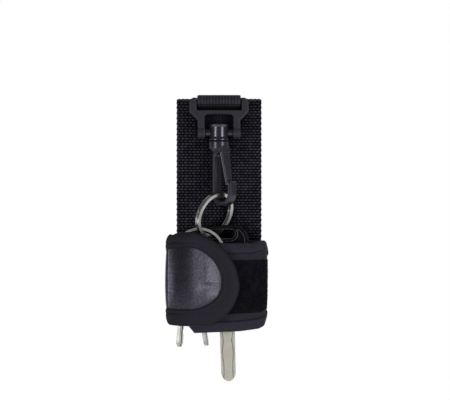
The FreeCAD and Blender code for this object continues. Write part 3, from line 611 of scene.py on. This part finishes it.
def binding_tape(name, layer, edge, inner_edge, panel, seed, seams=((TAPE_SEAM, 1.0),)):
    """Tape folded over a panel's edge: one section carried along the edge's (run, z) points.

    The section goes from the inner edge over the face, round the panel on half an ellipse, along the
    far face, and back a tape's thickness below. The face rolls off with the panel, sinks on a bell
    curve at each seam, by its strength, and puckers along it. The seam value holds painted shade for
    the seam's groove.
    """
    width = np.linalg.norm(inner_edge - edge, axis=1)[:, None]
    inward = (inner_edge - edge) / width
    half = (panel - EDGE_ROLL) / 2
    bend = half + TAPE_THICKNESS
    share = np.linspace(1.0, 0.0, 36)
    turn = np.linspace(0.0, np.pi, 14)
    leg = np.linspace(TAPE_NOSE, TAPE_UNDER, 6)
    ones = np.ones_like(share)
    from_bend = np.concatenate([
        ones * TAPE_NOSE, TAPE_NOSE * (1 - np.sin(turn)), leg, leg[::-1],
        TAPE_NOSE - TAPE_INNER_NOSE * np.sin(turn), ones * TAPE_NOSE,
    ])
    under = np.zeros(2 * (len(turn) + len(leg)))
    of_width = np.concatenate([share, under, share[::-1]])
    centre = -panel + half
    level = np.concatenate([
        ones * TAPE_THICKNESS, centre + bend * np.cos(turn), 0 * leg - panel - TAPE_THICKNESS,
        0 * leg - panel, centre - half * np.cos(turn), 0 * ones,
    ])
    on_face = np.concatenate([ones, under, 0 * ones])
    on_legs = np.concatenate([ones, under, ones])
    across = from_bend + of_width * (width - TAPE_NOSE)
    from_raw = width - across
    roll_share = np.clip((across - TAPE_NOSE) / (EDGE_ROLL_WIDTH - TAPE_NOSE), 0, 1)
    lift = level - on_legs * EDGE_ROLL * (1 - roll_share) ** 2
    raw = np.sqrt(1 - (1 - np.clip(from_raw / RAW_EDGE_WIDTH, 0, 1)) ** 2)
    pucker = soft_noise((len(edge), 1), PUCKER_BLUR, seed)
    sunk, beside = (
        on_face * sum(pull * np.exp(-(((from_raw - seam) / bell) ** 2)) for seam, pull in seams)
        for bell in (SEAM_WIDTH, PUCKER_WIDTH)
    )
    lift += PUCKER_DEPTH * pucker * beside - SEAM_DEPTH * sunk
    lift -= on_face * TAPE_THICKNESS * RAW_EDGE_SINK * (1 - raw)
    flat = edge[:, None] + inward[:, None] * across[..., None]
    points = on_layer(layer, flat[..., 0], lift, flat[..., 1])
    steps = np.concatenate([[0.0], np.cumsum(np.linalg.norm(np.diff(edge, axis=0), axis=1))])[:, None]
    uv = np.stack(np.broadcast_arrays(steps, from_raw), axis=-1).reshape(-1, 2)
    # painted shade in the seam's groove, handed to the cloth as the seam value
    seam_painted_shade = SEAM_PAINTED_DARKNESS * np.minimum(sunk, 1.0)
    return mesh_piece(name, points, ring_faces(*points.shape[:2]), uv, seam=seam_painted_shade)


def laminated_cloth(name, colour, lighter_colour, weave_scale, roughness):
    """Matt laminated nylon: a fine even weave, faint blotches, scuffs where it has rubbed, and painted
    shade along its seams' grooves, by the seam value."""
    made = finish(name, Specular_IOR_Level=0.3, Specular_Tint=COOL_TINT)
    place = node(made, "UVMap", {}).outputs["UV"]
    weave = noise(made, place, weave_scale, 2.0)
    blotch = noise(made, place, 0.35, 4.0, Roughness=0.65)
    both = node(made, "Math", {0: weave, 1: blotch}, operation="ADD").outputs["Value"]
    # painted shade along the seams, by the seam value
    off_seam = scaled(made, named_value(made, "seam"), 1.0, 0.0)
    level = product(made, scaled(made, both, 0.0, 1.0, 0.5, 1.5), off_seam)
    drive(
        made,
        Base_Color=shades(made, level, (0.0, SEAM_PAINTED_SHADE), (0.3, colour), (0.8, lighter_colour)),
        Roughness=scaled(made, blotch, roughness - 0.08, roughness + 0.08),
        Normal=bumped(made, weave, 0.25, 0.06),
    )
    return made


def sewn(piece, material, slot, *solids):
    """Dresses a soft piece with its material, and hides the solids that it stands for. The slot is not used.
    """
    piece.data.materials.append(material)
    if solids:
        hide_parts(*solids)
    return piece


def bound_edges(side, layer, top, bottom, width, panel, seeds):
    """Tapes of one width on the top and bottom edges of a side of the wrap, each sewn to its panel."""
    tapes = []
    for end, edge, inward, seed in zip(("top", "bottom"), (top, bottom), (-width, width), seeds):
        tape = binding_tape(f"{side}_tape_{end}", layer, edge, edge + [0.0, inward], panel, seed)
        tapes.append(sewn(tape, wrap_tape, "wrap_binding", f"{side}_binding_{end}"))
    return tapes


flap_low = solid_box("flap_panel")[0]
wing_high = solid_box("wing_panel")[1]
wrap_left, wrap_right = flap_low[0], wing_high[0]
left_fold = (loop_low[1] - flap_low[1]) / 2
right_fold = loop_low[1] - wing_high[1] - WING_SEAM_STEP
left_turn = quarter_round(
    (wrap_left + left_fold, loop_low[1] - left_fold), (-left_fold, left_fold), squareness=2.0,
)
right_turn = quarter_round(
    (wrap_right - right_fold, loop_low[1] - right_fold), (right_fold, right_fold), squareness=2.0,
)
back_layer = plan_layer(
    np.vstack([left_turn, right_turn[::-1]]), outward=-1.0, fold_length=BACK_FOLD_LENGTH, both_ends=True,
)
wrap_fabric = laminated_cloth(
    "wrap_fabric", colour=(0.015, 0.0142, 0.021), lighter_colour=(0.023, 0.0218, 0.032),
    weave_scale=5.0, roughness=0.72,
)
wrap_tape = laminated_cloth(
    "wrap_tape", colour=(0.0168, 0.0158, 0.0242), lighter_colour=(0.0255, 0.024, 0.0365),
    weave_scale=6.0, roughness=0.62,
)

back_shares = np.linspace(0.0, 1.0, 180)
back_top = laid(back_layer, [
    (wrap_left, -55.0), (-28.4, -52.7), (0.0, -53.6), (26.0, -55.7), (wrap_right, -57.2),
], back_shares)
back_bottom = laid(back_layer, [
    (wrap_left, -101.6), (-27.6, -103.6), (0.0, -105.4), (26.0, -104.7), (wrap_right, -102.8),
], back_shares)
tape_inset = np.array([0.0, TAPE_THICKNESS])
wrap_back = padded_panel(
    "wrap_back_pad", back_layer, back_bottom + tape_inset, back_top - tape_inset, PANEL_ROWS,
    outer=-LAY_GAP, inner=-BACK_THICKNESS, rounding=PANEL_ROUNDING, roll=0.6,
)
sewn(wrap_back, wrap_fabric, "wrap_fabric", "wrap_back")
back_tapes = bound_edges(
    "back", back_layer, back_top, back_bottom, BACK_TAPE_WIDTH, BACK_THICKNESS, seeds=(11, 12),
)
for piece in (wrap_back, *back_tapes):
    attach(piece, "belt_loop")


# Wing: the wrap's right side, folded forward round the keys. Its outer face is a field of loop pile
# between two bound edges, for the flap's hooks to hold on to.
WING_THICKNESS = 2.0
WING_TAPE_WIDTH = 6.4
WING_EDGE_INSET = 0.3
WING_PLACES, WING_SLOPES, WING_LEAN = (20.4, 14.0, -45.0), (3.0, 7.0, 7.0), 7.0
FOLD_ROUNDING, FOLD_SPREAD = 14, 1.5
LOOP_TOP_INSET, LOOP_BOTTOM_INSET, LOOP_LEFT = 10.2, 9.5, -15.0
LOOP_HEIGHT, LOOP_LOWEST, LOOP_ROUNDING = 0.7, 0.45, 0.35
LOOP_GRID = (260, 130)
STITCH_END, STITCH_DIP, STITCH_SINK = 1.02, 0.22, 0.2


def front_layer(edge, axis, side, squareness, places, slopes, anchor):
    """A layer that turns forward from the fold at an edge and crosses the front. Its slope runs
    through the given degrees at the given x places, it passes through the anchor, and a running
    mean rounds its corner."""
    x = np.linspace(places[0], places[-1], 400)
    rise = np.tan(np.radians(np.interp(x, *zip(*sorted(zip(places, slopes))))))
    y = np.concatenate([[0.0], np.cumsum((rise[1:] + rise[:-1]) / 2 * np.diff(x))])
    y += anchor[1] - np.interp(anchor[0], *(x, y) if x[0] < x[-1] else (x[::-1], y[::-1]))
    fold = loop_low[1] - axis
    arc = quarter_round((x[0], fold), (edge - x[0], y[0] - fold), squareness)
    plan = even_steps(np.vstack([arc[:-1], np.column_stack([x, y])]), FINE_PITCH)[1]
    return plan_layer(rounded(plan, FOLD_ROUNDING), -side, FOLD_SPREAD * axis)


def repeated(one, count, points):
    """The faces of one small shape, once for each of a count of copies of its points."""
    return [[corner + copy * points for corner in face] for copy in range(count) for face in one]


def stitch_row(name, layer, line, lift, length=2.0, pitch=2.7, thread=0.2):
    """A row of sewn thread: one capsule for each stitch, bowed so that both ends dip into the cloth.

    Each lies along the line's direction, thins on a half ellipse towards its ends, and has six sides.
    """
    run, points = even_steps(line, pitch)
    along = directions(run, points)
    beside = np.column_stack([-along[:, 1], along[:, 0]])
    place = np.linspace(-1.0, 1.0, 7)[:, None]
    turn = np.linspace(0.0, 2 * np.pi, 6, endpoint=False)
    thick = thread * np.sqrt(STITCH_END - place ** 2)
    flat = (
        points[:, None, None] + along[:, None, None] * (place * length / 2)[..., None]
        + beside[:, None, None] * (thick * np.cos(turn))[..., None]
    )
    bowed = lift + thick * np.sin(turn) - STITCH_DIP * place ** 2
    shape = on_layer(layer, flat[..., 0], bowed, flat[..., 1])
    faces = repeated(ring_faces(len(place), len(turn)), len(points), place.size * turn.size)
    return mesh_piece(name, shape, faces, flat.reshape(-1, 2))


def turned_forward(piece):
    """Bakes a piece's transform into its mesh."""
    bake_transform(piece)


def pile(name, dark, tip, lint, roughness):
    """Nylon pile: painted shade at its root and a painted highlight on its fibres' tips, by the height
    value, with a few short specks of lint."""
    made = finish(name, Specular_IOR_Level=0.08, Specular_Tint=COOL_TINT)
    place = node(made, "UVMap", {}).outputs["UV"]
    fibre = noise(made, place, 9.0, 4.0, Distortion=2.0)
    cell = node(made, "TexVoronoi", {"Vector": place, "Scale": 0.26, "Randomness": 1.0}).outputs["Distance"]
    speck = product(made, scaled(made, cell, 1.0, 0.0, 0.03, 0.07), scaled(made, fibre, 0.0, 0.9, 0.4, 0.7))
    # the height value paints shade where the pile is low and a highlight where it stands high
    tone = product(made, named_value(made, "height"), scaled(made, fibre, 0.4, 1.3))
    shade = shades(made, tone, (0.15, dark), (0.9, tip))
    mixed = node(made, "Mix", {"Factor": speck, 6: shade, 7: (*lint, 1.0)}, data_type="RGBA")
    drive(
        made,
        Base_Color=mixed.outputs[2],
        Roughness=scaled(made, fibre, roughness, roughness + 0.15),
        Normal=bumped(made, fibre, 0.7, 0.15),
    )
    return made


wing_front = loop_low[1] - right_fold * (1 + 1 / np.cos(np.radians(WING_LEAN)))
wing_layer = front_layer(
    wrap_right - WING_EDGE_INSET, right_fold, side=1.0, squareness=2.4,
    places=WING_PLACES, slopes=WING_SLOPES, anchor=(wrap_right - right_fold, wing_front),
)
wing_shares = np.linspace(0.0, 1.0, 170)
wing_top = laid(wing_layer, [
    (wrap_right, -56.2), (27.2, -55.2), (24.0, -55.2), (19.4, -56.6), (-17.4, -56.9),
], wing_shares)
wing_bottom = laid(wing_layer, [
    (wrap_right, -103.4), (26.8, -105.4), (23.0, -106.7), (12.3, -108.1), (-14.2, -109.0), (-17.4, -105.0),
], wing_shares)
wing_body = padded_panel(
    "wing_pad", wing_layer, wing_bottom + tape_inset, wing_top - tape_inset, PANEL_ROWS,
    outer=0.0, inner=-WING_THICKNESS, rounding=PANEL_ROUNDING, free_end=True,
)
sewn(wing_body, wrap_fabric, "wrap_fabric", "wing_panel")
wing_tapes = bound_edges(
    "wing", wing_layer, wing_top, wing_bottom, WING_TAPE_WIDTH, WING_THICKNESS, seeds=(21, 22),
)

loop_shares = np.linspace(0.0, 1.0, LOOP_GRID[0])
loop_top = laid(wing_layer, [(wrap_right, -56.2), (24.0, -56.2), (LOOP_LEFT, -56.9)], loop_shares)
loop_bottom = laid(wing_layer, [(wrap_right, -104.6), (24.0, -106.5), (LOOP_LEFT, -108.8)], loop_shares)
tufts = soft_noise(LOOP_GRID, cells=0.7, seed=31)
mats = soft_noise(LOOP_GRID, cells=5.0, seed=32)
tuft = np.clip(0.5 + 0.2 * tufts + 0.12 * mats, 0, 1)
loop_field = padded_panel(
    "loop_pile_field", wing_layer, loop_bottom + [0.0, LOOP_BOTTOM_INSET], loop_top - [0.0, LOOP_TOP_INSET],
    LOOP_GRID[1], outer=LOOP_HEIGHT * (LOOP_LOWEST + (1 - LOOP_LOWEST) * tuft), inner=LAY_GAP,
    rounding=LOOP_ROUNDING, crowd=0.0, free_end=True, roll=0.0, height=tuft,
)
loop_pile = pile(
    "loop_pile", dark=(0.0028, 0.0027, 0.0037), tip=(0.0105, 0.01, 0.0135), lint=(0.09, 0.08, 0.076),
    roughness=0.75,
)
sewn(loop_field, loop_pile, "loop_pile", "wing_loop_field")
sewing_thread = laminated_cloth(
    "sewing_thread", colour=(0.008, 0.0075, 0.011), lighter_colour=(0.014, 0.0132, 0.019),
    weave_scale=8.0, roughness=0.5,
)
wing_seam = np.array([0.0, WING_TAPE_WIDTH - TAPE_SEAM])
wing_stitches = [
    stitch_row("wing_stitches_top", wing_layer, wing_top - wing_seam, TAPE_THICKNESS - STITCH_SINK),
    stitch_row("wing_stitches_bottom", wing_layer, wing_bottom + wing_seam, TAPE_THICKNESS - STITCH_SINK),
]
for row in wing_stitches:
    sewn(row, sewing_thread, "wrap_binding")
for piece in (wing_body, *wing_tapes, loop_field, *wing_stitches):
    turned_forward(piece)


# Flap: the wrap's left side, folded forward over the keys and the wing. A soft vinyl patch covers its
# middle, a wide tape binds its round edge, and a square of hook tape is sewn inside its tip.
FLAP_THICKNESS = 2.2
FLAP_TIP = (12.3, -81.0)
PATCH_MIDDLE, PATCH_REACH, PATCH_UP, PATCH_DOWN = (-17.5, -79.4), 19.0, 20.3, 15.2
FLAP_SEAMS, FLAP_SEAM_FADES, FLAP_SEAM_LOSS = (0.6, 3.4), (-24.0, -12.0), 0.7
FLAP_STITCH_SINK = 0.22
PATCH_TUCK, PATCH_GAP, PATCH_ROUNDING = 0.5, 0.01, 0.8
PATCH_EDGE, PATCH_RISE, PATCH_LEAN, PATCH_CROWN_POWER = 0.1, 1.3, 0.75, 0.75
PATCH_FOLD_RISE, PATCH_FOLD_LENGTH, PATCH_TIP_LENGTH = 0.6, 6.0, 10.0
PATCH_ROWS = 140
FLAP_PLACES = (-30.0, -28.0, -26.0, -24.5, -22.5, -18.4, -15.4, -13.0, -8.0, -4.0, 1.8, 12.3, 40.0)
FLAP_SLOPES = (-18.0, -8.0, -5.0, -3.5, 0.0, 7.5, 12.5, 15.0, 14.0, 11.5, 9.5, 8.0, 7.0)
FLAP_ANCHOR = (12.3, -23.6)
PATCH_GRAIN = 0.007
PATCH_DENT, PATCH_DENT_PLACE, PATCH_DENT_SIZE = 0.42, (-6.5, -82.0), (5.0, 2.4)
HOOK_FIELD = ((-13.0, -93.0), (6.0, -68.0))
HOOK_PITCH, HOOK_HEIGHT, HOOK_BASE = 1.1, 0.42, 0.28
HOOK_STEM, HOOK_TIP, HOOK_REACH, HOOK_SINK = 0.16, 0.08, 0.45, 0.04
HOOK_CURL = np.radians(111.6)
HOOK_TAPE_ROUNDING = 0.3


def arc_through(start, via, end):
    """Points of the circle through three (x, z) points, from the first to the last."""
    a, b, c = (complex(*corner) for corner in (start, via, end))
    ratio = (c - a) / (b - a)
    centre = a + (b - a) * (ratio - abs(ratio) ** 2) / (2j * ratio.imag)
    sweep = np.angle((b - centre) / (a - centre)) + np.angle((c - centre) / (b - centre))
    points = centre + (a - centre) * np.exp(1j * sweep * np.linspace(0.0, 1.0, 50))
    return np.column_stack([points.real, points.imag])


def grained_vinyl(name, dark, colour, bright, roughness):
    """Soft pebbled vinyl: darker between the pebbles, by the grain value, with cells that are glossy
    in their middles and matt at their edges."""
    made = finish(name, Specular_Tint=COOL_TINT)
    place = node(made, "UVMap", {}).outputs["UV"]
    pore = node(made, "TexVoronoi", {"Vector": place, "Scale": 1.5, "Randomness": 1.0}).outputs["Distance"]
    rub = noise(made, place, 0.2, 4.0)
    drive(
        made,
        Base_Color=shades(made, named_value(made, "grain"), (0.1, dark), (0.5, colour), (0.95, bright)),
        Specular_IOR_Level=scaled(made, pore, 1.2, 0.66, 0.1, 0.65),
        Roughness=scaled(made, rub, roughness - 0.05, roughness + 0.07),
        Normal=bumped(made, pore, 0.3, 0.1),
    )
    return made


def hook_rows(name, layer, corner, opposite, base):
    """Rows of small moulded hooks: tapered stems that lean over on part of a circle, alternate rows
    turned opposite ways. Each is five rings of four points."""
    runs = np.arange(corner[0], opposite[0], HOOK_PITCH)
    heights = np.arange(corner[1], opposite[1], HOOK_PITCH)
    run, z = (grid.ravel()[:, None, None] for grid in np.meshgrid(runs, heights, indexing="ij"))
    lean = np.tile(np.where(np.arange(len(heights)) % 2, 1.0, -1.0), len(runs))[:, None, None]
    swing = np.linspace(0.0, HOOK_CURL, 5)[:, None]
    turn = np.linspace(0.0, 2 * np.pi, 4, endpoint=False)
    thick = np.linspace(HOOK_STEM, HOOK_TIP, 5)[:, None]
    points = on_layer(
        layer, run + thick * np.cos(turn), base - HOOK_HEIGHT * np.sin(swing) + 0 * turn,
        z + thick * np.sin(turn) + HOOK_REACH * lean * (1 - np.cos(swing)),
    )
    faces = repeated(ring_faces(len(swing), len(turn)), run.size, swing.size * turn.size)
    return mesh_piece(name, points, faces)


flap_layer = front_layer(
    wrap_left, left_fold, side=-1.0, squareness=2.6,
    places=FLAP_PLACES, slopes=FLAP_SLOPES, anchor=FLAP_ANCHOR,
)
flap_shares = np.linspace(0.0, 1.0, 190)
flap_top = laid(flap_layer, [
    (wrap_left, -53.6), (-30.0, -52.6), (-28.9, -51.4), (-27.8, -51.4), (-26.9, -52.0), (-25.2, -51.0),
    (-23.0, -50.4), *arc_through((-16.0, -50.1), (3.3, -60.3), FLAP_TIP),
], flap_shares)
flap_bottom = laid(flap_layer, [
    (wrap_left, -102.5), (-29.0, -103.9), (-22.0, -104.6),
    *arc_through((-8.5, -104.9), (5.6, -97.2), FLAP_TIP),
], flap_shares)
patch_top = laid(flap_layer, [
    (wrap_left, -60.4), (-26.2, -59.3), *quarter_round(PATCH_MIDDLE, (PATCH_REACH, PATCH_UP), 1.8)[::-1],
], flap_shares)
patch_bottom = laid(flap_layer, [
    (wrap_left, -94.0), *quarter_round(PATCH_MIDDLE, (PATCH_REACH, -PATCH_DOWN), 2.0)[::-1],
], flap_shares)
flap_edge = rounded(np.vstack([flap_top, flap_bottom[-2::-1]]), 2)
patch_edge = rounded(np.vstack([patch_top, patch_bottom[-2::-1]]), 6)
inward = patch_edge - flap_edge
inward /= np.linalg.norm(inward, axis=1, keepdims=True)
columns = len(flap_shares) - 1
tape_inside = flap_edge + TAPE_THICKNESS * inward
flap_body = padded_panel(
    "flap_pad", flap_layer, tape_inside[:columns:-1], tape_inside[:columns], PANEL_ROWS,
    outer=0.0, inner=-FLAP_THICKNESS, rounding=PANEL_ROUNDING,
)
sewn(flap_body, wrap_fabric, "wrap_fabric", "flap_panel")
edge_x = np.interp(flap_edge[:, :1], flap_layer[0], flap_layer[1][:, 0])
fade_start, fade_end = FLAP_SEAM_FADES
outer_pull = 1 - FLAP_SEAM_LOSS * eased((edge_x - fade_start) / (fade_end - fade_start))
flap_tape = binding_tape(
    "flap_tape", flap_layer, flap_edge, patch_edge, FLAP_THICKNESS, seed=41,
    seams=((FLAP_SEAMS[0], 1.0), (FLAP_SEAMS[1], outer_pull)),
)
flap_binding_cloth = laminated_cloth(
    "flap_binding_cloth", colour=(0.0075, 0.0071, 0.0105), lighter_colour=(0.0125, 0.0118, 0.017),
    weave_scale=6.0, roughness=0.6,
)
sewn(flap_tape, flap_binding_cloth, "wrap_binding", "flap_binding")

patch_under = patch_edge - PATCH_TUCK * inward
patch_low, patch_high = patch_under[:columns:-1], patch_under[:columns]
patch_share = np.linspace(0.0, 1.0, PATCH_ROWS)
patch_run, patch_z = (
    patch_low[:, [axis]] + (patch_high - patch_low)[:, [axis]] * patch_share for axis in (0, 1)
)
patch_x = np.interp(patch_run, flap_layer[0], flap_layer[1][:, 0])
pebble = soft_noise((columns, PATCH_ROWS), cells=1.0, seed=43)
dent = np.exp(
    -((patch_x - PATCH_DENT_PLACE[0]) / PATCH_DENT_SIZE[0]) ** 2
    - ((patch_z - PATCH_DENT_PLACE[1]) / PATCH_DENT_SIZE[1]) ** 2
)
near_fold = PATCH_FOLD_RISE + (1 - PATCH_FOLD_RISE) * eased((patch_x - wrap_left) / PATCH_FOLD_LENGTH)
near_tip = eased((PATCH_MIDDLE[0] + PATCH_REACH + PATCH_TUCK - patch_x) / PATCH_TIP_LENGTH)
crown = np.sin(np.pi * patch_share ** PATCH_LEAN) ** PATCH_CROWN_POWER
patch_lift = PATCH_EDGE + PATCH_RISE * near_fold * near_tip * crown
flap_patch = padded_panel(
    "vinyl_patch", flap_layer, patch_low, patch_high, PATCH_ROWS,
    outer=patch_lift + PATCH_GRAIN * pebble - PATCH_DENT * dent, inner=PATCH_GAP, rounding=PATCH_ROUNDING,
    crowd=0.0, roll=0.0, grain=np.clip(0.5 + 0.25 * pebble, 0, 1),
)
patch_vinyl = grained_vinyl(
    "patch_vinyl", dark=(0.003, 0.0028, 0.0042), colour=(0.005, 0.0047, 0.0068),
    bright=(0.011, 0.0104, 0.0148), roughness=0.35,
)
sewn(flap_patch, patch_vinyl, "patch_vinyl", "flap_patch")

(hook_left, hook_bottom), (hook_right, hook_top) = HOOK_FIELD
hook_shares = np.linspace(0.0, 1.0, 40)
hook_low = laid(flap_layer, [(hook_left, hook_bottom), (hook_right, hook_bottom)], hook_shares)
hook_high = laid(flap_layer, [(hook_left, hook_top), (hook_right, hook_top)], hook_shares)
hook_tape = padded_panel(
    "hook_tape", flap_layer, hook_low, hook_high, 40,
    outer=-FLAP_THICKNESS + LAY_GAP, inner=-FLAP_THICKNESS - HOOK_BASE, rounding=HOOK_TAPE_ROUNDING,
    free_end=True, roll=0.0,
)
hook_plastic = moulded_plastic(
    "hook_tape_plastic", colour=(0.008, 0.0078, 0.01), lighter_colour=(0.02, 0.0195, 0.024), roughness=0.4,
    round_edge=0.1, specular=0.3,
)
sewn(hook_tape, hook_plastic, "hook_pile", "flap_hook_field")
hook_base = -FLAP_THICKNESS - HOOK_BASE + HOOK_SINK
flap_hooks = hook_rows("flap_hooks", flap_layer, hook_low[1], hook_high[-2], hook_base)
sewn(flap_hooks, hook_plastic, "hook_pile")
flap_stitches = stitch_row(
    "flap_stitches", flap_layer, patch_edge - FLAP_SEAMS[1] * inward, TAPE_THICKNESS - FLAP_STITCH_SINK,
)
sewn(flap_stitches, sewing_thread, "wrap_binding")
for piece in (flap_body, flap_tape, flap_patch, hook_tape, flap_hooks, flap_stitches):
    turned_forward(piece)


# Studio: a pale floor well below the clip, a white surround that is darker towards the camera, and
# two tall softboxes in front, one to each side. The camera looks level at the clip from far off.
CAMERA_AHEAD = 1500.0
PICTURE_WIDTH = 264.1
PICTURE_CENTRE = (3.5, -31.7)
FLOOR_Z, FLOOR_RADIUS = -220.0, 800.0
FLOOR_FADE_START, FLOOR_FADE_END, FLOOR_GLOW = 260.0, 760.0, 0.45
FLOOR_COLOUR = (0.82, 0.82, 0.82, 1.0)
SOFTBOX_AHEAD = 900.0
SOFTBOXES = ((-42.0, 170.0, 2.4), (40.0, 200.0, 2.75))
SOFTBOX_HEIGHT, SOFTBOX_Z = 460.0, -120.0
SURROUND_LEVEL = 0.47
FRONT_LEVEL = 0.09

scene = bpy.context.scene
scene.view_settings.view_transform = "Standard"
lens = bpy.data.cameras.new("camera")
lens.sensor_width = 36.0
lens.lens = lens.sensor_width * CAMERA_AHEAD / PICTURE_WIDTH
lens.clip_end = 20.0
camera = bpy.data.objects.new("camera", lens)
camera.location = (PICTURE_CENTRE[0] * MM, (loop_low[1] - CAMERA_AHEAD) * MM, PICTURE_CENTRE[1] * MM)
camera.rotation_euler = (np.pi / 2, 0.0, 0.0)
scene.collection.objects.link(camera)
scene.camera = camera

for degrees, width, power in SOFTBOXES:
    turn = np.radians(degrees)
    panel = bpy.data.lights.new("softbox", "AREA")
    panel.shape = "RECTANGLE"
    panel.size, panel.size_y = width * MM, SOFTBOX_HEIGHT * MM
    panel.energy = power
    lamp = bpy.data.objects.new("softbox", panel)
    place = np.array([SOFTBOX_AHEAD * np.sin(turn), -SOFTBOX_AHEAD * np.cos(turn), SOFTBOX_Z])
    lamp.location = place * MM
    lamp.rotation_euler = (np.pi / 2, 0.0, turn)
    scene.collection.objects.link(lamp)


def either(owner, *values):
    """The largest of some values."""
    largest = values[0]
    for value in values[1:]:
        largest = node(owner, "Math", {0: largest, 1: value}, operation="MAXIMUM").outputs["Value"]
    return largest


def white_surround():
    """White to the camera and to transmitted rays. Reflections see white behind the clip and a dimmer
    room towards the camera, and scattered light comes evenly from all round."""
    world = bpy.data.worlds.new("surround")
    world.use_nodes = True
    path = node(world, "LightPath", {}).outputs
    direction = node(world, "TexCoord", {}).outputs["Generated"]
    toward = node(world, "SeparateXYZ", {"Vector": direction}).outputs["Y"]
    mirrored = product(world, path["Is Glossy Ray"], scaled(world, toward, FRONT_LEVEL, 1.0, 0.0, 0.7))
    seen = either(world, path["Is Camera Ray"], path["Is Transmission Ray"])
    lit = product(world, path["Is Diffuse Ray"], SURROUND_LEVEL)
    surround = world.node_tree.nodes["Background"]
    surround.inputs["Color"].default_value = (1.0, 1.0, 1.0, 1.0)
    world.node_tree.links.new(either(world, seen, mirrored, lit), surround.inputs["Strength"])
    return world


def floor_disc():
    """A flat disc: rings of points at even steps of radius, with one face inside the smallest ring."""
    radius = np.linspace(1.0, FLOOR_RADIUS, 24)[:, None]
    turn = np.linspace(0.0, 2 * np.pi, 72, endpoint=False)
    points = np.stack(np.broadcast_arrays(radius * np.cos(turn), radius * np.sin(turn), FLOOR_Z), axis=-1)
    return mesh_piece("floor", points, ring_faces(len(radius), len(turn))[:-1])


def pale_floor():
    """Pale matt floor near the clip, which fades outwards to the white of the surround."""
    made = finish("pale_floor", Base_Color=FLOOR_COLOUR, Roughness=0.9, Specular_IOR_Level=0.1)
    place = node(made, "TexCoord", {}).outputs["Object"]
    flat = node(made, "VectorMath", {0: place, 1: (1.0, 1.0, 0.0)}, operation="MULTIPLY").outputs["Vector"]
    reach = node(made, "VectorMath", {0: flat}, operation="LENGTH").outputs["Value"]
    fade = node(made, "MapRange", {
        "Value": reach, "From Min": FLOOR_FADE_START * MM, "From Max": FLOOR_FADE_END * MM,
        "To Min": FLOOR_GLOW,
    }, interpolation_type="SMOOTHSTEP").outputs["Result"]
    path = node(made, "LightPath", {}).outputs
    seen = either(made, path["Is Camera Ray"], path["Is Glossy Ray"], path["Is Transmission Ray"])
    glow = node(made, "Emission", {"Strength": scaled(made, seen, SURROUND_LEVEL, 1.0)}).outputs["Emission"]
    shader = made.node_tree.nodes["Principled BSDF"].outputs["BSDF"]
    mixed = node(made, "MixShader", {"Fac": fade, 1: shader, 2: glow}).outputs["Shader"]
    made.node_tree.links.new(mixed, made.node_tree.nodes["Material Output"].inputs["Surface"])
    return made


scene.world = white_surround()
floor = floor_disc()
floor.data.materials.append(pale_floor())
